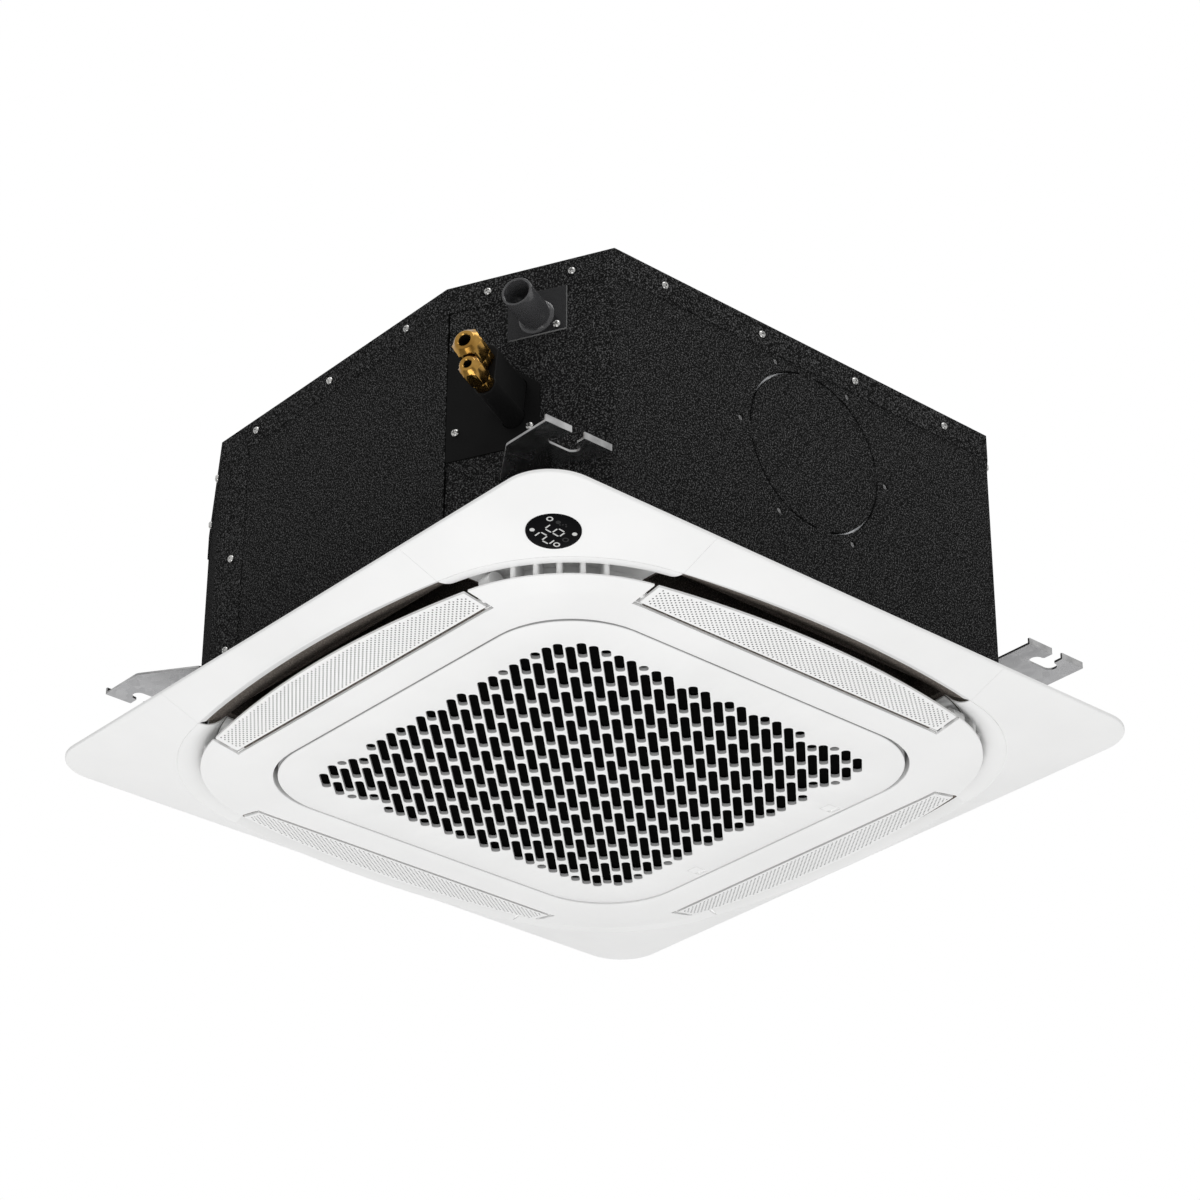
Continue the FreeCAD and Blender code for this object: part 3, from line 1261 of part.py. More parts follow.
def build_pipes():
    out = NEAR.out
    gas_in = near_point(GAS_ALONG, GAS_Z, -PIPE_INSIDE)
    liquid_in = near_point(LIQUID_ALONG, LIQUID_Z, -PIPE_INSIDE)
    gas_end = near_point(GAS_ALONG, GAS_Z, SLEEVE_OUT + UNION_HEX)
    liquid_end = near_point(LIQUID_ALONG, LIQUID_Z, SLEEVE_OUT + UNION_HEX)
    gas_header = vec(HEADER_X, -ROW_INNER, GAS_Z)
    liquid_header = vec(-ROW_INNER, HEADER_X, LIQUID_Z)
    gas_pipe = bent_tube([gas_header, gas_in, gas_end], GAS_PIPE_R, PIPE_BEND)
    liquid_pipe = bent_tube([liquid_header, liquid_in, liquid_end], LIQUID_PIPE_R, PIPE_BEND)
    keep("gas_pipe", gas_pipe.cut(PARTS["gas_header"]))
    keep("liquid_pipe", liquid_pipe.cut(PARTS["liquid_header"]))
    lines = {
        "gas": (GAS_ALONG, GAS_Z, GAS_PIPE_R, GAS_NUT_ACROSS, GAS_SPIGOT_R, GAS_NOSE_R),
        "liquid": (LIQUID_ALONG, LIQUID_Z, LIQUID_PIPE_R, LIQUID_NUT_ACROSS, LIQUID_SPIGOT_R, LIQUID_NOSE_R),
    }
    for name, sizes in lines.items():
        union, nut = connection(*sizes)
        keep(name + "_union", union)
        keep(name + "_flare_nut", nut)
    sleeve = Part.Face(sleeve_outline(0, -INSIDE_INSET)).extrude(out * (SLEEVE_OUT + INSIDE_INSET))
    bores = []
    for along, z, radius in ((GAS_ALONG, GAS_Z, GAS_PIPE_R), (LIQUID_ALONG, LIQUID_Z, LIQUID_PIPE_R)):
        start = near_point(along, z, -INSIDE_INSET)
        bores.append(rod(radius + SLEEVE_FIT, start, out, SLEEVE_OUT + INSIDE_INSET))
    keep("pipe_sleeve", sleeve.cut(Part.makeCompound(bores)))
    build_pipe_plate()


def build_pipe_plate():
    corners = [
        near_point(PLATE_LEFT, PLATE_BOTTOM, -FOAM_INSET),
        near_point(PLATE_RIGHT, PLATE_BOTTOM, -FOAM_INSET),
        near_point(PLATE_RIGHT, PLATE_RIGHT_TOP, -FOAM_INSET),
        near_point(PLATE_RIGHT - PLATE_CUT_WIDE, PLATE_TOP, -FOAM_INSET),
        near_point(PLATE_LEFT, PLATE_TOP, -FOAM_INSET),
    ]
    plate = Part.Face(polygon(corners)).extrude(NEAR.out * PLATE_THICK)
    hole = Part.Face(sleeve_outline(PLATE_HOLE_GAP, -FOAM_INSET)).extrude(NEAR.out * PLATE_THICK)
    keep("pipe_cover_plate", plate.cut(hole).cut(screw_holes()))


def build_drain():
    out = NEAR.out
    wide = DRAIN_FLANGE_WIDE / 2
    high = DRAIN_FLANGE_HIGH / 2
    middle = DRAIN_Z + DRAIN_FLANGE_UP
    flange = NEAR.slab(DRAIN_ALONG - wide, DRAIN_ALONG + wide, middle - high, middle + high,
                       -FOAM_INSET, DRAIN_COLLAR - FOAM_INSET)
    base = near_point(DRAIN_ALONG, DRAIN_Z, -FOAM_INSET)
    stub = rod(DRAIN_R, base, out, DRAIN_LENGTH + DRAIN_COLLAR)
    collar = rod(DRAIN_COLLAR_R, base, out, 2 * DRAIN_COLLAR)
    bore = rod(DRAIN_BORE_R, base, out, DRAIN_LENGTH + DRAIN_COLLAR)
    keep("drain_outlet", fused([flange, stub, collar]).cut(bore).cut(screw_holes()))
    pump_base = vec(PUMP_X, PUMP_Y, TROUGH_Z)
    bowl = rod(PUMP_R, pump_base, UP, PUMP_HEIGHT)
    head = rod(PUMP_MOTOR_R, pump_base + vec(0, 0, PUMP_HEIGHT), UP, PUMP_MOTOR_HEIGHT)
    keep("drain_pump", fused([bowl, head]))
    start = pump_base + vec(0, 0, PUMP_HEIGHT + PUMP_MOTOR_HEIGHT)
    inside = near_point(DRAIN_ALONG, DRAIN_Z, -2 * HOSE_BEND)
    route = eased([start, vec(PUMP_X, PUMP_Y, DRAIN_Z), inside, base], HOSE_BEND)
    keep("drain_hose", mitred_tube(route, HOSE_R, HOSE_SIDES))
    build_float()


def build_float():
    base = vec(FLOAT_X, FLOAT_Y, TROUGH_Z + FLOAT_STOP)
    half = FLOAT_BRACKET_WIDTH / 2
    bracket = block(FLOAT_X - half, -COIL_OPEN - END_PLATE, FLOAT_Y - half, FLOAT_Y + half,
                    FLOAT_BRACKET_Z, FLOAT_BRACKET_Z + FLOAT_BRACKET)
    stem = rod(FLOAT_STEM_R, base, UP, FLOAT_BRACKET_Z - base.z)
    stop = rod(FLOAT_STOP_R, base, UP, FLOAT_STOP)
    keep("float_bracket", fused([bracket, stem, stop]))
    rest = base + vec(0, 0, FLOAT_STOP)
    keep("float", ring(FLOAT_R, FLOAT_STEM_R + RUNNING_CLEARANCE, rest, UP, FLOAT_HEIGHT))


# Hangers and panel bolts
def hanger(wall, sign_x, sign_y):
    """A corner hanger: a slotted plate with a lip, a tab on the body and a foot for the panel bolt."""
    rod_x = HANGER_PITCH_X / 2
    rod_y = HANGER_PITCH_Y / 2
    outer_x = rod_x + HANGER_SIDE_OUT
    inner_x = rod_x - HANGER_SIDE_IN
    lip_y = rod_y + HANGER_LIP_OUT
    back_y = lip_y - HANGER_STRAIGHT
    plan = ((inner_x, lip_y), (outer_x, lip_y), (outer_x, back_y),
            (rod_x, back_y - HANGER_STRAIGHT), (inner_x, back_y - HANGER_STRAIGHT))
    plate = prism(polygon([vec(x, y, HANGER_Z) for x, y in plan]), HANGER_SHEET)
    lip = block(inner_x, outer_x, lip_y - HANGER_SHEET, lip_y, HANGER_Z, HANGER_Z + HANGER_LIP)
    half = HANGER_SLOT_WIDE / 2
    ends = HANGER_SLOT_LONG / 2 - half
    tall = 2 * HANGER_LIP
    cuts = [block(rod_x - ends, rod_x + ends, rod_y - half, rod_y + half, HANGER_Z, HANGER_Z + tall)]
    cuts += [rod(half, vec(rod_x + side * ends, rod_y, HANGER_Z), UP, tall) for side in (-1, 1)]
    cuts.append(block(rod_x - half, rod_x + half, rod_y, lip_y, HANGER_Z, HANGER_Z + tall))
    flat = fused([plate, lip]).cut(Part.makeCompound(cuts))
    if sign_x < 0:
        flat = flat.mirror(ORIGIN, vec(1, 0, 0))
    if sign_y < 0:
        flat = flat.mirror(ORIGIN, vec(0, 1, 0))
    flat = flat.cut(body_prism(FOAM_INSET, HANGER_Z, HANGER_Z + tall))
    middle = wall.length / 2
    half = HANGER_TAB_WIDE / 2
    tab = wall.slab(middle - half, middle + half, HANGER_FOOT_Z, HANGER_Z + HANGER_SHEET,
                    -FOAM_INSET, HANGER_SHEET - FOAM_INSET)
    half = HANGER_FOOT_WIDE / 2
    foot = wall.slab(middle - half, middle + half, HANGER_FOOT_Z, HANGER_FOOT_Z + HANGER_SHEET,
                     -FOAM_INSET, HANGER_FOOT_OUT)
    hole = rod(BOLT_R + BOLT_CLEARANCE, wall.at(middle, HANGER_FOOT_Z, BOLT_OUT), UP, HANGER_SHEET)
    return fused([flat, tab, foot]).cut(hole)


def build_hangers():
    signs = {"near": (-1, -1), "right": (1, -1), "far": (1, 1), "left": (-1, 1)}
    for name, wall in CHAMFERS.items():
        keep("hanger_" + name, hanger(wall, *signs[name]))
    fixings = []
    nut_z = HANGER_FOOT_Z + HANGER_SHEET
    for spot in panel_bolt_points():
        under = spot + vec(0, 0, -SKIN)
        head = hexagon(BOLT_ACROSS, under - vec(0, 0, BOLT_HEAD), UP, BOLT_HEAD)
        shank = rod(BOLT_R, under, UP, SKIN + nut_z + BOLT_NUT + BOLT_PAST_NUT)
        fixings.append(fused([head, shank]))
        seat = spot + vec(0, 0, nut_z)
        nut = hexagon(BOLT_ACROSS, seat, UP, BOLT_NUT)
        fixings.append(nut.cut(rod(BOLT_R + PIPE_FIT, seat, UP, BOLT_NUT)))
    keep("panel_fixings", Part.makeCompound(fixings))


def main():
    build_shell()
    build_panel()
    build_grille()
    build_pan()
    build_bell_mouth()
    build_control()
    build_fan()
    build_coil()
    build_pipes()
    build_drain()
    build_hangers()
    os.makedirs("parts", exist_ok=True)
    for name, shape in PARTS.items():
        shape.exportStep(os.path.join("parts", name + ".step"))


main()
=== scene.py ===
import json
import logging
import math
from dataclasses import dataclass, field
from enum import Enum

import bmesh
import bpy
import numpy as np
from mathutils import Matrix, Vector
from mathutils.geometry import delaunay_2d_cdt

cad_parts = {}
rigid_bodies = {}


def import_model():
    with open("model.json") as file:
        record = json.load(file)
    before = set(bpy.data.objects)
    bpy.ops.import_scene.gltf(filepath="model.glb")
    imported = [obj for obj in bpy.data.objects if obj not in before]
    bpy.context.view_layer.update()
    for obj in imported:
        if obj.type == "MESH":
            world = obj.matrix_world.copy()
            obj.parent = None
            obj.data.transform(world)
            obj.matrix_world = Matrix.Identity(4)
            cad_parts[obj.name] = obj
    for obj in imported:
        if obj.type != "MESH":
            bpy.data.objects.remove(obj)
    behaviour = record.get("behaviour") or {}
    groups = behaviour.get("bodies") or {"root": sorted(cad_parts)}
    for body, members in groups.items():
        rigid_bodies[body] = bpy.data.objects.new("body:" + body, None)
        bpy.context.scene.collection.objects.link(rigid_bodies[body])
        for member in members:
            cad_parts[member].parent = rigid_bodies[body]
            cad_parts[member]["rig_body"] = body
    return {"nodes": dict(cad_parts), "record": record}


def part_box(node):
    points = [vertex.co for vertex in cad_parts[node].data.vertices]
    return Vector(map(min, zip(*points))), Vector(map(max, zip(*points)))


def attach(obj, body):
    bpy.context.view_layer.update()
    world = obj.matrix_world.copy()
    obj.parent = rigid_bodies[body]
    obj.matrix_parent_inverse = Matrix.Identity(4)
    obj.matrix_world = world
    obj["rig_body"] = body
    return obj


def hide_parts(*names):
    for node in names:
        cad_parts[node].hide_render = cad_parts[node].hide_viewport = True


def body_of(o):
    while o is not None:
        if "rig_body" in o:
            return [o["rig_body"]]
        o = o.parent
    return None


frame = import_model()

# Dressed model of a four-way ceiling cassette. Sizes are millimetres until a mesh is made, +Z is up,
# the origin is the panel's centre on the ceiling plane and the corner with the pipes is at -X -Y.
MM = 0.001
ROOT_TWO = math.sqrt(2)
AXIS_R = 0.01  # where a turned section starts, next to its axis
FEW = 24  # angles round a small turned piece
PIECE_WELD, NODE_WELD = 1e-6, 2e-6
PIECE_SHARP, NODE_SHARP, BEVEL_FROM, FLAT_WITHIN = (math.radians(angle) for angle in (32, 30, 38, 1))
DOWN = (0, 0, -1)
LOG = logging.getLogger("cassette")


class Quarter(Enum):
    """A place that comes back every quarter turn."""

    @property
    def label(self) -> str:
        """The place's name as the pieces have it."""
        return self.name.lower()


class Side(Quarter):
    """The four sides of the panel, as quarter turns from +X."""

    EAST = 0
    NORTH = 1
    WEST = 2
    SOUTH = 3


class Corner(Quarter):
    """The four corners of the panel, as quarter turns from +X +Y."""

    FAR = 0
    LEFT = 1
    NEAR = 2
    RIGHT = 3


class Pattern(Enum):
    """What breaks up a finish."""

    MOULDED = "moulded grain"
    SPECKLED = "speckled foam"
    SPANGLED = "zinc spangle"
    DRAWN = "drawn metal"


def node_box(node: str) -> tuple[np.ndarray, np.ndarray]:
    """Lowest and highest corner of a frame node, in millimetres."""
    low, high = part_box(node)
    return np.array(low) / MM, np.array(high) / MM


def mount(name: str) -> tuple[np.ndarray, np.ndarray, dict[str, float]]:
    """Place, direction and sizes of one of the frame's mounts.

    Args:
        name: the mount's name in the record.

    Returns:
        Its point in millimetres, its unit axis and its sizes.
    """
    found = next(m for m in frame["record"]["mounts"] if m["name"] == name)
    axis = np.array(found["axis"], float)
    return np.array(found["pos_m"], float) / MM, axis / np.linalg.norm(axis), found["dims"]


# Surfaces
@dataclass
class Surface:
    """Points in millimetres with faces of four and of three corners."""

    points: np.ndarray
    quads: np.ndarray = field(default_factory=lambda: np.zeros((0, 4), int))
    tris: np.ndarray = field(default_factory=lambda: np.zeros((0, 3), int))

    def turned(self, quarter: int) -> "Surface":
        """A copy turned about the upright axis by quarter turns, counter-clockwise from above."""
        cos, sin = ((1, 0), (0, 1), (-1, 0), (0, -1))[quarter % 4]
        turn = np.array([[cos, sin, 0], [-sin, cos, 0], [0, 0, 1.0]])
        return Surface(self.points @ turn, self.quads, self.tris)

    def placed(self, origin: np.ndarray, axes: np.ndarray) -> "Surface":
        """A copy with its origin at a place and its X, Y and Z along three unit rows."""
        return Surface(self.points @ axes + origin, self.quads, self.tris)

    def facing(self, way: tuple[float, float, float]) -> "Surface":
        """A copy whose faces, taken together, look along a direction.

        Args:
            way: the direction that the faces should look.

        Returns:
            This surface, or the same with its faces turned over.
        """
        corners = np.vstack([self.quads[:, :3], self.tris])
        a, b, c = (self.points[corners[:, k]] for k in range(3))
        total = np.cross(b - a, c - a).sum(axis=0)
        if total @ np.array(way) >= 0:
            return self
        return Surface(self.points, self.quads[:, ::-1], self.tris[:, ::-1])


def merged(parts: list[Surface]) -> Surface:
    """Several surfaces as one.

    Args:
        parts: the surfaces.

    Returns:
        One surface with every point and face, in order.
    """
    shifts = np.cumsum([0] + [len(part.points) for part in parts[:-1]])
    return Surface(np.vstack([part.points for part in parts]),
                   np.vstack([part.quads + shift for part, shift in zip(parts, shifts)]),
                   np.vstack([part.tris + shift for part, shift in zip(parts, shifts)]))


def angles(count: int) -> np.ndarray:
    """Evenly spaced angles round a circle."""
    return np.linspace(0, 2 * math.pi, count, endpoint=False)


def arc(angle: np.ndarray, radius: float) -> np.ndarray:
    """Plan points at angles round the origin."""
    return np.column_stack([np.cos(angle), np.sin(angle)]) * radius


def spun(angle: float) -> np.ndarray:
    """Unit rows of a frame turned by an angle about its own Z."""
    cos, sin = math.cos(angle), math.sin(angle)
    return np.array([[cos, sin, 0], [-sin, cos, 0], [0, 0, 1]])


def grid(points: np.ndarray, wrap: bool = False, keep: np.ndarray | None = None) -> Surface:
    """A surface on a grid: row i, column j is one point, and each cell is a quad.

    Args:
        points: an array of rows by columns by three.
        wrap: whether the last column joins the first.
        keep: which cells stay, or None for all.

    Returns:
        The surface.
    """
    rows, columns = points.shape[:2]
    index = np.arange(rows * columns).reshape(rows, columns)
    if wrap:
        index = np.hstack([index, index[:, :1]])
    cells = np.stack([index[:-1, :-1], index[1:, :-1], index[1:, 1:], index[:-1, 1:]], axis=-1)
    mask = np.ones(cells.shape[:2], bool) if keep is None else keep
    return Surface(points.reshape(-1, 3), cells[mask])


def ring_quads(low: np.ndarray, high: np.ndarray) -> np.ndarray:
    """Faces between rings of points, given as rows of point numbers."""
    return np.stack([low, np.roll(low, -1, 1), np.roll(high, -1, 1), high], axis=-1).reshape(-1, 4)


def lathe(profile: np.ndarray, count: int = 48) -> Surface:
    """A profile turned about local Z: point (r, z) goes to (r cos a, r sin a, z) for each angle a.

    Args:
        profile: radius and height pairs, from the axis or round a closed section.
        count: how many angles.

    Returns:
        The surface, closed round the axis.
    """
    angle = angles(count)
    r, z = profile[:, :1], profile[:, 1:]
    points = np.stack([r * np.cos(angle), r * np.sin(angle), z + 0 * angle], axis=-1)
    return grid(points, wrap=True)


def washer(hole: float, radius: float, low: float, high: float, count: int = 48) -> Surface:
    """A closed flat ring about local Z, between two radii and two heights."""
    section = [[hole, low], [radius, low], [radius, high], [hole, high], [hole, low]]
    return lathe(np.array(section), count)


def prism(outline: np.ndarray, low: float, high: float) -> Surface:
    """A convex outline carried straight up, with both ends closed by fans.

    Args:
        outline: the outline's points in its plane.
        low: the height of one end.
        high: the height of the other.

    Returns:
        The closed surface.
    """
    count = len(outline)
    rows = [np.column_stack([outline, np.full(count, z)]) for z in (low, high)]
    body = grid(np.stack(rows), wrap=True)
    fan = np.arange(1, count - 1)
    cap = np.column_stack([np.zeros(count - 2, int), fan, fan + 1])
    body.tris = np.vstack([cap[:, ::-1], cap + count])
    return body


def box(low: tuple[float, float, float], high: tuple[float, float, float]) -> Surface:
    """A closed block between its lowest and its highest corner."""
    plan = np.array([[low[0], low[1]], [high[0], low[1]], [high[0], high[1]], [low[0], high[1]]])
    return prism(plan, low[2], high[2])


def axes_along(axis: np.ndarray) -> np.ndarray:
    """Unit rows of a frame, sideways, up and along an axis that isn't upright."""
    side = np.cross([0, 0, 1.0], axis)
    side /= np.linalg.norm(side)
    return np.stack([side, np.cross(axis, side), axis])


@dataclass(frozen=True)
class Outline:
    """A square plan with round corners, whose sides bow out where a diagonal is given."""

    half: float
    radius: float
    diagonal: float | None = None

    def centre(self) -> float:
        """Distance of a corner arc's centre from each axis."""
        if self.diagonal is None:
            return self.half - self.radius
        return (self.diagonal - self.radius) / ROOT_TWO

    def x_at(self, y: np.ndarray) -> np.ndarray:
        """How far out the +X side is at a given place along it.

        A plain side is flat and a bowed one an arc tangent to the corner arcs; past the join it is the
        corner arc.

        Args:
            y: places along the side.

        Returns:
            The distances from the centre.
        """
        y = np.abs(y)
        c = self.centre()
        past = np.clip(y - c, 0, self.radius)
        corner = c + np.sqrt(self.radius ** 2 - past ** 2)
        if self.diagonal is None:
            return np.where(y <= c, self.half, corner)
        rise = self.half - c
        side_r = (rise ** 2 + c ** 2 - self.radius ** 2) / (2 * (rise - self.radius))
        join = side_r * math.sin(math.atan2(c, c - self.half + side_r))
        bowed = self.half - side_r + np.sqrt(side_r ** 2 - np.minimum(y, join) ** 2)
        return np.where(y <= join, bowed, corner)

    def side(self, reach: float, count: int) -> np.ndarray:
        """Points along the +X side.

        Args:
            reach: how far the points go each way from the middle.
            count: how many points.

        Returns:
            The points, from -Y to +Y.
        """
        y = np.linspace(-reach, reach, count)
        return np.column_stack([self.x_at(y), y])

    def corner(self, start: float, count: int) -> np.ndarray:
        """Points round the +X +Y corner, evenly spaced along the outline.

        Args:
            start: how far from the middle of the side the corner's stretch starts.
            count: how many points.

        Returns:
            The points, from the +X side to the +Y side.
        """
        tip = self.centre() + self.radius / ROOT_TWO
        y = np.linspace(start, tip, 200)
        half = np.column_stack([self.x_at(y), y])
        path = np.vstack([half, half[-2::-1, ::-1]])
        run = np.concatenate([[0], np.cumsum(np.linalg.norm(np.diff(path, axis=0), axis=1))])
        even = np.linspace(0, run[-1], count)
        return np.column_stack([np.interp(even, run, path[:, k]) for k in range(2)])

    def loop(self, start: float, side_count: int, corner_count: int) -> np.ndarray:
        """The whole outline, with columns that line up between outlines of the same start and counts.

        Args:
            start: where along each side its corner stretch starts.
            side_count: points on each side.
            corner_count: points on each corner, its ends left to the sides.

        Returns:
            The points, counter-clockwise from the +X side.
        """
        quarter = np.vstack([self.side(start, side_count), self.corner(start, corner_count + 2)[1:-1]])
        turns = [quarter]
        for _ in range(3):
            turns.append(np.column_stack([-turns[-1][:, 1], turns[-1][:, 0]]))
        return np.vstack(turns)


def at_height(plan: np.ndarray, z: float | np.ndarray) -> np.ndarray:
    """Plan points lifted to a height, or each to its own."""
    return np.column_stack([plan, np.broadcast_to(z, len(plan))])


def rounded_holes(centres: np.ndarray, reach: np.ndarray, radius: float, turn: float,
                  steps: int = 5) -> np.ndarray:
    """Rectangular holes with round corners, all with the same number of points.

    Each corner is a quarter arc about a centre set in from the corner by its radius.

    Args:
        centres: one centre per hole.
        reach: half length and half width of each hole.
        radius: the corner radius.
        turn: the angle from X to the holes' length.
        steps: points on each corner.

    Returns:
        An array of holes by points by two.
    """
    angle = np.concatenate([np.linspace(k, k + 1, steps) for k in range(4)]) * math.pi / 2
    sign = np.repeat(np.array([[1, 1], [-1, 1], [-1, -1], [1, -1]]), steps, axis=0)
    local = (reach[:, None, :] - radius) * sign + arc(angle, radius)
    cos, sin = math.cos(turn), math.sin(turn)
    return local @ np.array([[cos, sin], [-sin, cos]]) + centres[:, None, :]


def pierced(outline: np.ndarray, holes: np.ndarray) -> np.ndarray:
    """Triangles that fill a convex outline and leave its convex holes open.

    Args:
        outline: the outer points.
        holes: an array of holes by points by two.

    Returns:
        Triangles, numbered with the outline's points first and then each hole's in turn.
    """
    count = holes.shape[1]
    plan = np.vstack([outline, holes.reshape(-1, 2)])
    ring = np.column_stack([np.arange(len(outline)), np.roll(np.arange(len(outline)), -1)])
    inner = np.arange(len(holes) * count).reshape(-1, count) + len(outline)
    links = np.stack([inner, np.roll(inner, -1, axis=1)], axis=-1).reshape(-1, 2)
    edges = np.vstack([ring, links]).tolist()
    _, _, faces, origins, _, _ = delaunay_2d_cdt([Vector(p) for p in plan.tolist()], edges, [], 0, 1e-7)
    tris = np.array([own[0] for own in origins])[np.array(faces)]
    owner = np.concatenate([np.full(len(outline), -1), np.repeat(np.arange(len(holes)), count)])[tris]
    inside = (owner[:, 0] >= 0) & (owner == owner[:, :1]).all(axis=1)
    return tris[~inside]


# Finishes
def set_inputs(tree: bpy.types.NodeTree, node: bpy.types.Node, inputs: dict[str | int, object]) -> None:
    """Set a node's inputs.

    Args:
        tree: the node tree.
        node: the node.
        inputs: each input's own value, or the socket that it is linked to.
    """
    for key, value in inputs.items():
        if isinstance(value, bpy.types.NodeSocket):
            tree.links.new(value, node.inputs[key])
        else:
            node.inputs[key].default_value = value


def add_node(tree: bpy.types.NodeTree, kind: str, inputs: dict[str | int, object]) -> bpy.types.Node:
    """A new shader node of a kind with its inputs set."""
    node = tree.nodes.new("ShaderNode" + kind)
    set_inputs(tree, node, inputs)
    return node


def noise(tree: bpy.types.NodeTree, vector: bpy.types.NodeSocket, scale: float,
          detail: float = 3.0) -> bpy.types.NodeSocket:
    """The factor of a noise at a place, with its cycles per metre and its octaves."""
    return add_node(tree, "TexNoise", {"Scale": scale, "Detail": detail, "Vector": vector}).outputs["Fac"]


def stretch(tree: bpy.types.NodeTree, value: bpy.types.NodeSocket, low: float = 0.3,
            high: float = 0.7) -> bpy.types.NodeSocket:
    """A value spread so that low becomes 0 and high becomes 1, and clamped there."""
    return add_node(tree, "MapRange", {"From Min": low, "From Max": high, "Value": value}).outputs["Result"]


def pattern_group(pattern: Pattern) -> bpy.types.NodeTree:
    """The node group of a pattern, built once: a place goes in, a tint, a roughness and a height come out.

    Args:
        pattern: which pattern.

    Returns:
        The group.
    """
    if pattern.value in bpy.data.node_groups:
        return bpy.data.node_groups[pattern.value]
    tree = bpy.data.node_groups.new(pattern.value, "ShaderNodeTree")
    tree.interface.new_socket("Place", in_out="INPUT", socket_type="NodeSocketVector")
    for name in ("Tint", "Rough", "Height"):
        tree.interface.new_socket(name, in_out="OUTPUT", socket_type="NodeSocketFloat")
    place = tree.nodes.new("NodeGroupInput").outputs["Place"]
    out = tree.nodes.new("NodeGroupOutput")
    if pattern is Pattern.SPECKLED:
        height = noise(tree, place, scale=820.0, detail=1.0)
        tint = stretch(tree, height, low=0.50, high=0.82)
        rough = stretch(tree, noise(tree, place, scale=90.0, detail=2.0))
    elif pattern is Pattern.SPANGLED:
        tint = add_node(tree, "TexVoronoi", {"Scale": 130.0, "Vector": place}).outputs["Color"]
        rough = stretch(tree, noise(tree, place, scale=60.0))
        height = noise(tree, place, scale=900.0, detail=2.0)
    elif pattern is Pattern.DRAWN:
        lines = add_node(tree, "Mapping", {"Scale": (1.0, 1.0, 14.0), "Vector": place}).outputs["Vector"]
        tint = stretch(tree, noise(tree, place, scale=70.0, detail=4.0), low=0.35)
        rough = stretch(tree, noise(tree, lines, scale=260.0))
        height = noise(tree, lines, scale=500.0, detail=2.0)
    else:
        tint = stretch(tree, noise(tree, place, scale=11.0))
        rough = stretch(tree, noise(tree, place, scale=45.0))
        height = noise(tree, place, scale=1600.0, detail=2.0)
    set_inputs(tree, out, {"Tint": tint, "Rough": rough, "Height": height})
    return tree


@dataclass(frozen=True)
class Finish:
    """A surface finish: two colours and two roughnesses that a pattern moves between, and a fine relief."""

    name: str
    pattern: Pattern
    dark: tuple[float, float, float]
    light: tuple[float, float, float]
    rough: tuple[float, float]
    relief_mm: float = 0.0
    metallic: float = 0.0
    see_through: float = 0.0
    specular: float = 0.5
    bend: float = 1.46
    glow: float = 0.0

    def material(self) -> bpy.types.Material:
        """The finish's material, built once."""
        if self.name in bpy.data.materials:
            return bpy.data.materials[self.name]
        made = bpy.data.materials.new(self.name)
        made.use_nodes = True
        tree = made.node_tree
        shader = tree.nodes["Principled BSDF"]
        group = tree.nodes.new("ShaderNodeGroup")
        group.node_tree = pattern_group(self.pattern)
        set_inputs(tree, group, {"Place": tree.nodes.new("ShaderNodeTexCoord").outputs["Object"]})
        tint, rough, height = (group.outputs[name] for name in ("Tint", "Rough", "Height"))
        blend = tree.nodes.new("ShaderNodeMix")
        blend.data_type = "RGBA"
        set_inputs(tree, blend, {0: tint, 6: (*self.dark, 1), 7: (*self.light, 1)})
        least, most = self.rough
        spread = add_node(tree, "MapRange", {"Value": rough, "To Min": least, "To Max": most})
        bump = add_node(tree, "Bump", {"Height": height, "Distance": self.relief_mm * MM})
        set_inputs(tree, shader, {"Base Color": blend.outputs[2], "Roughness": spread.outputs["Result"],
                                  "Normal": bump.outputs["Normal"], "Metallic": self.metallic,
                                  "Specular IOR Level": self.specular})
        if self.see_through:
            set_inputs(tree, shader, {"Transmission Weight": self.see_through, "IOR": self.bend})
        if self.glow:
            set_inputs(tree, shader, {"Emission Color": (*self.light, 1), "Emission Strength": self.glow})
        return made


def grey(level: float) -> tuple[float, float, float]:
    """A grey colour."""
    return level, level, level


MOULDED, SPECKLED, SPANGLED, DRAWN = Pattern
WHITE = Finish("satin white plastic", MOULDED, (0.865, 0.865, 0.86), (0.9, 0.9, 0.895), (0.36, 0.48), 0.012,
               specular=0.4)
FOAM = Finish("black grain foam", SPECKLED, grey(0.01), (0.175, 0.175, 0.176), (0.85, 0.98), 0.3,
              specular=0.0)
# Brown-grey foam: partly the duct foam's own tone, partly painted shade on the slot's walls and on the foam
# deep inside the body.
DUCT_FOAM_AND_SHADE = Finish("dark duct foam", SPECKLED, (0.1, 0.087, 0.076), (0.39, 0.34, 0.3), (0.75, 0.95), 0.3,
              specular=0.1)
JOINT = Finish("foam joint", SPECKLED, grey(0.001), grey(0.004), (0.9, 0.98), 0.2, specular=0.02)
BEAD_FOAM = Finish("white bead foam", SPECKLED, (0.7, 0.7, 0.69), (0.82, 0.82, 0.81), (0.7, 0.9), 0.3)
SHEET = Finish("galvanised sheet", SPANGLED, (0.42, 0.43, 0.44), (0.6, 0.61, 0.62), (0.3, 0.48), 0.02, 0.95)
HANGER = Finish("plated hanger sheet", SPANGLED, (0.58, 0.58, 0.59), (0.72, 0.72, 0.73), (0.2, 0.3), 0.004,
                1.0)
# A darker metal for the hangers' faces that look sideways.
SIDEWAYS_METAL = Finish("bright cut edge", DRAWN, grey(0.22), grey(0.42), (0.25, 0.4), 0.004, 1.0)
ZINC = Finish("zinc plate", DRAWN, (0.3, 0.3, 0.295), (0.52, 0.515, 0.5), (0.14, 0.28), 0.002, 1.0)
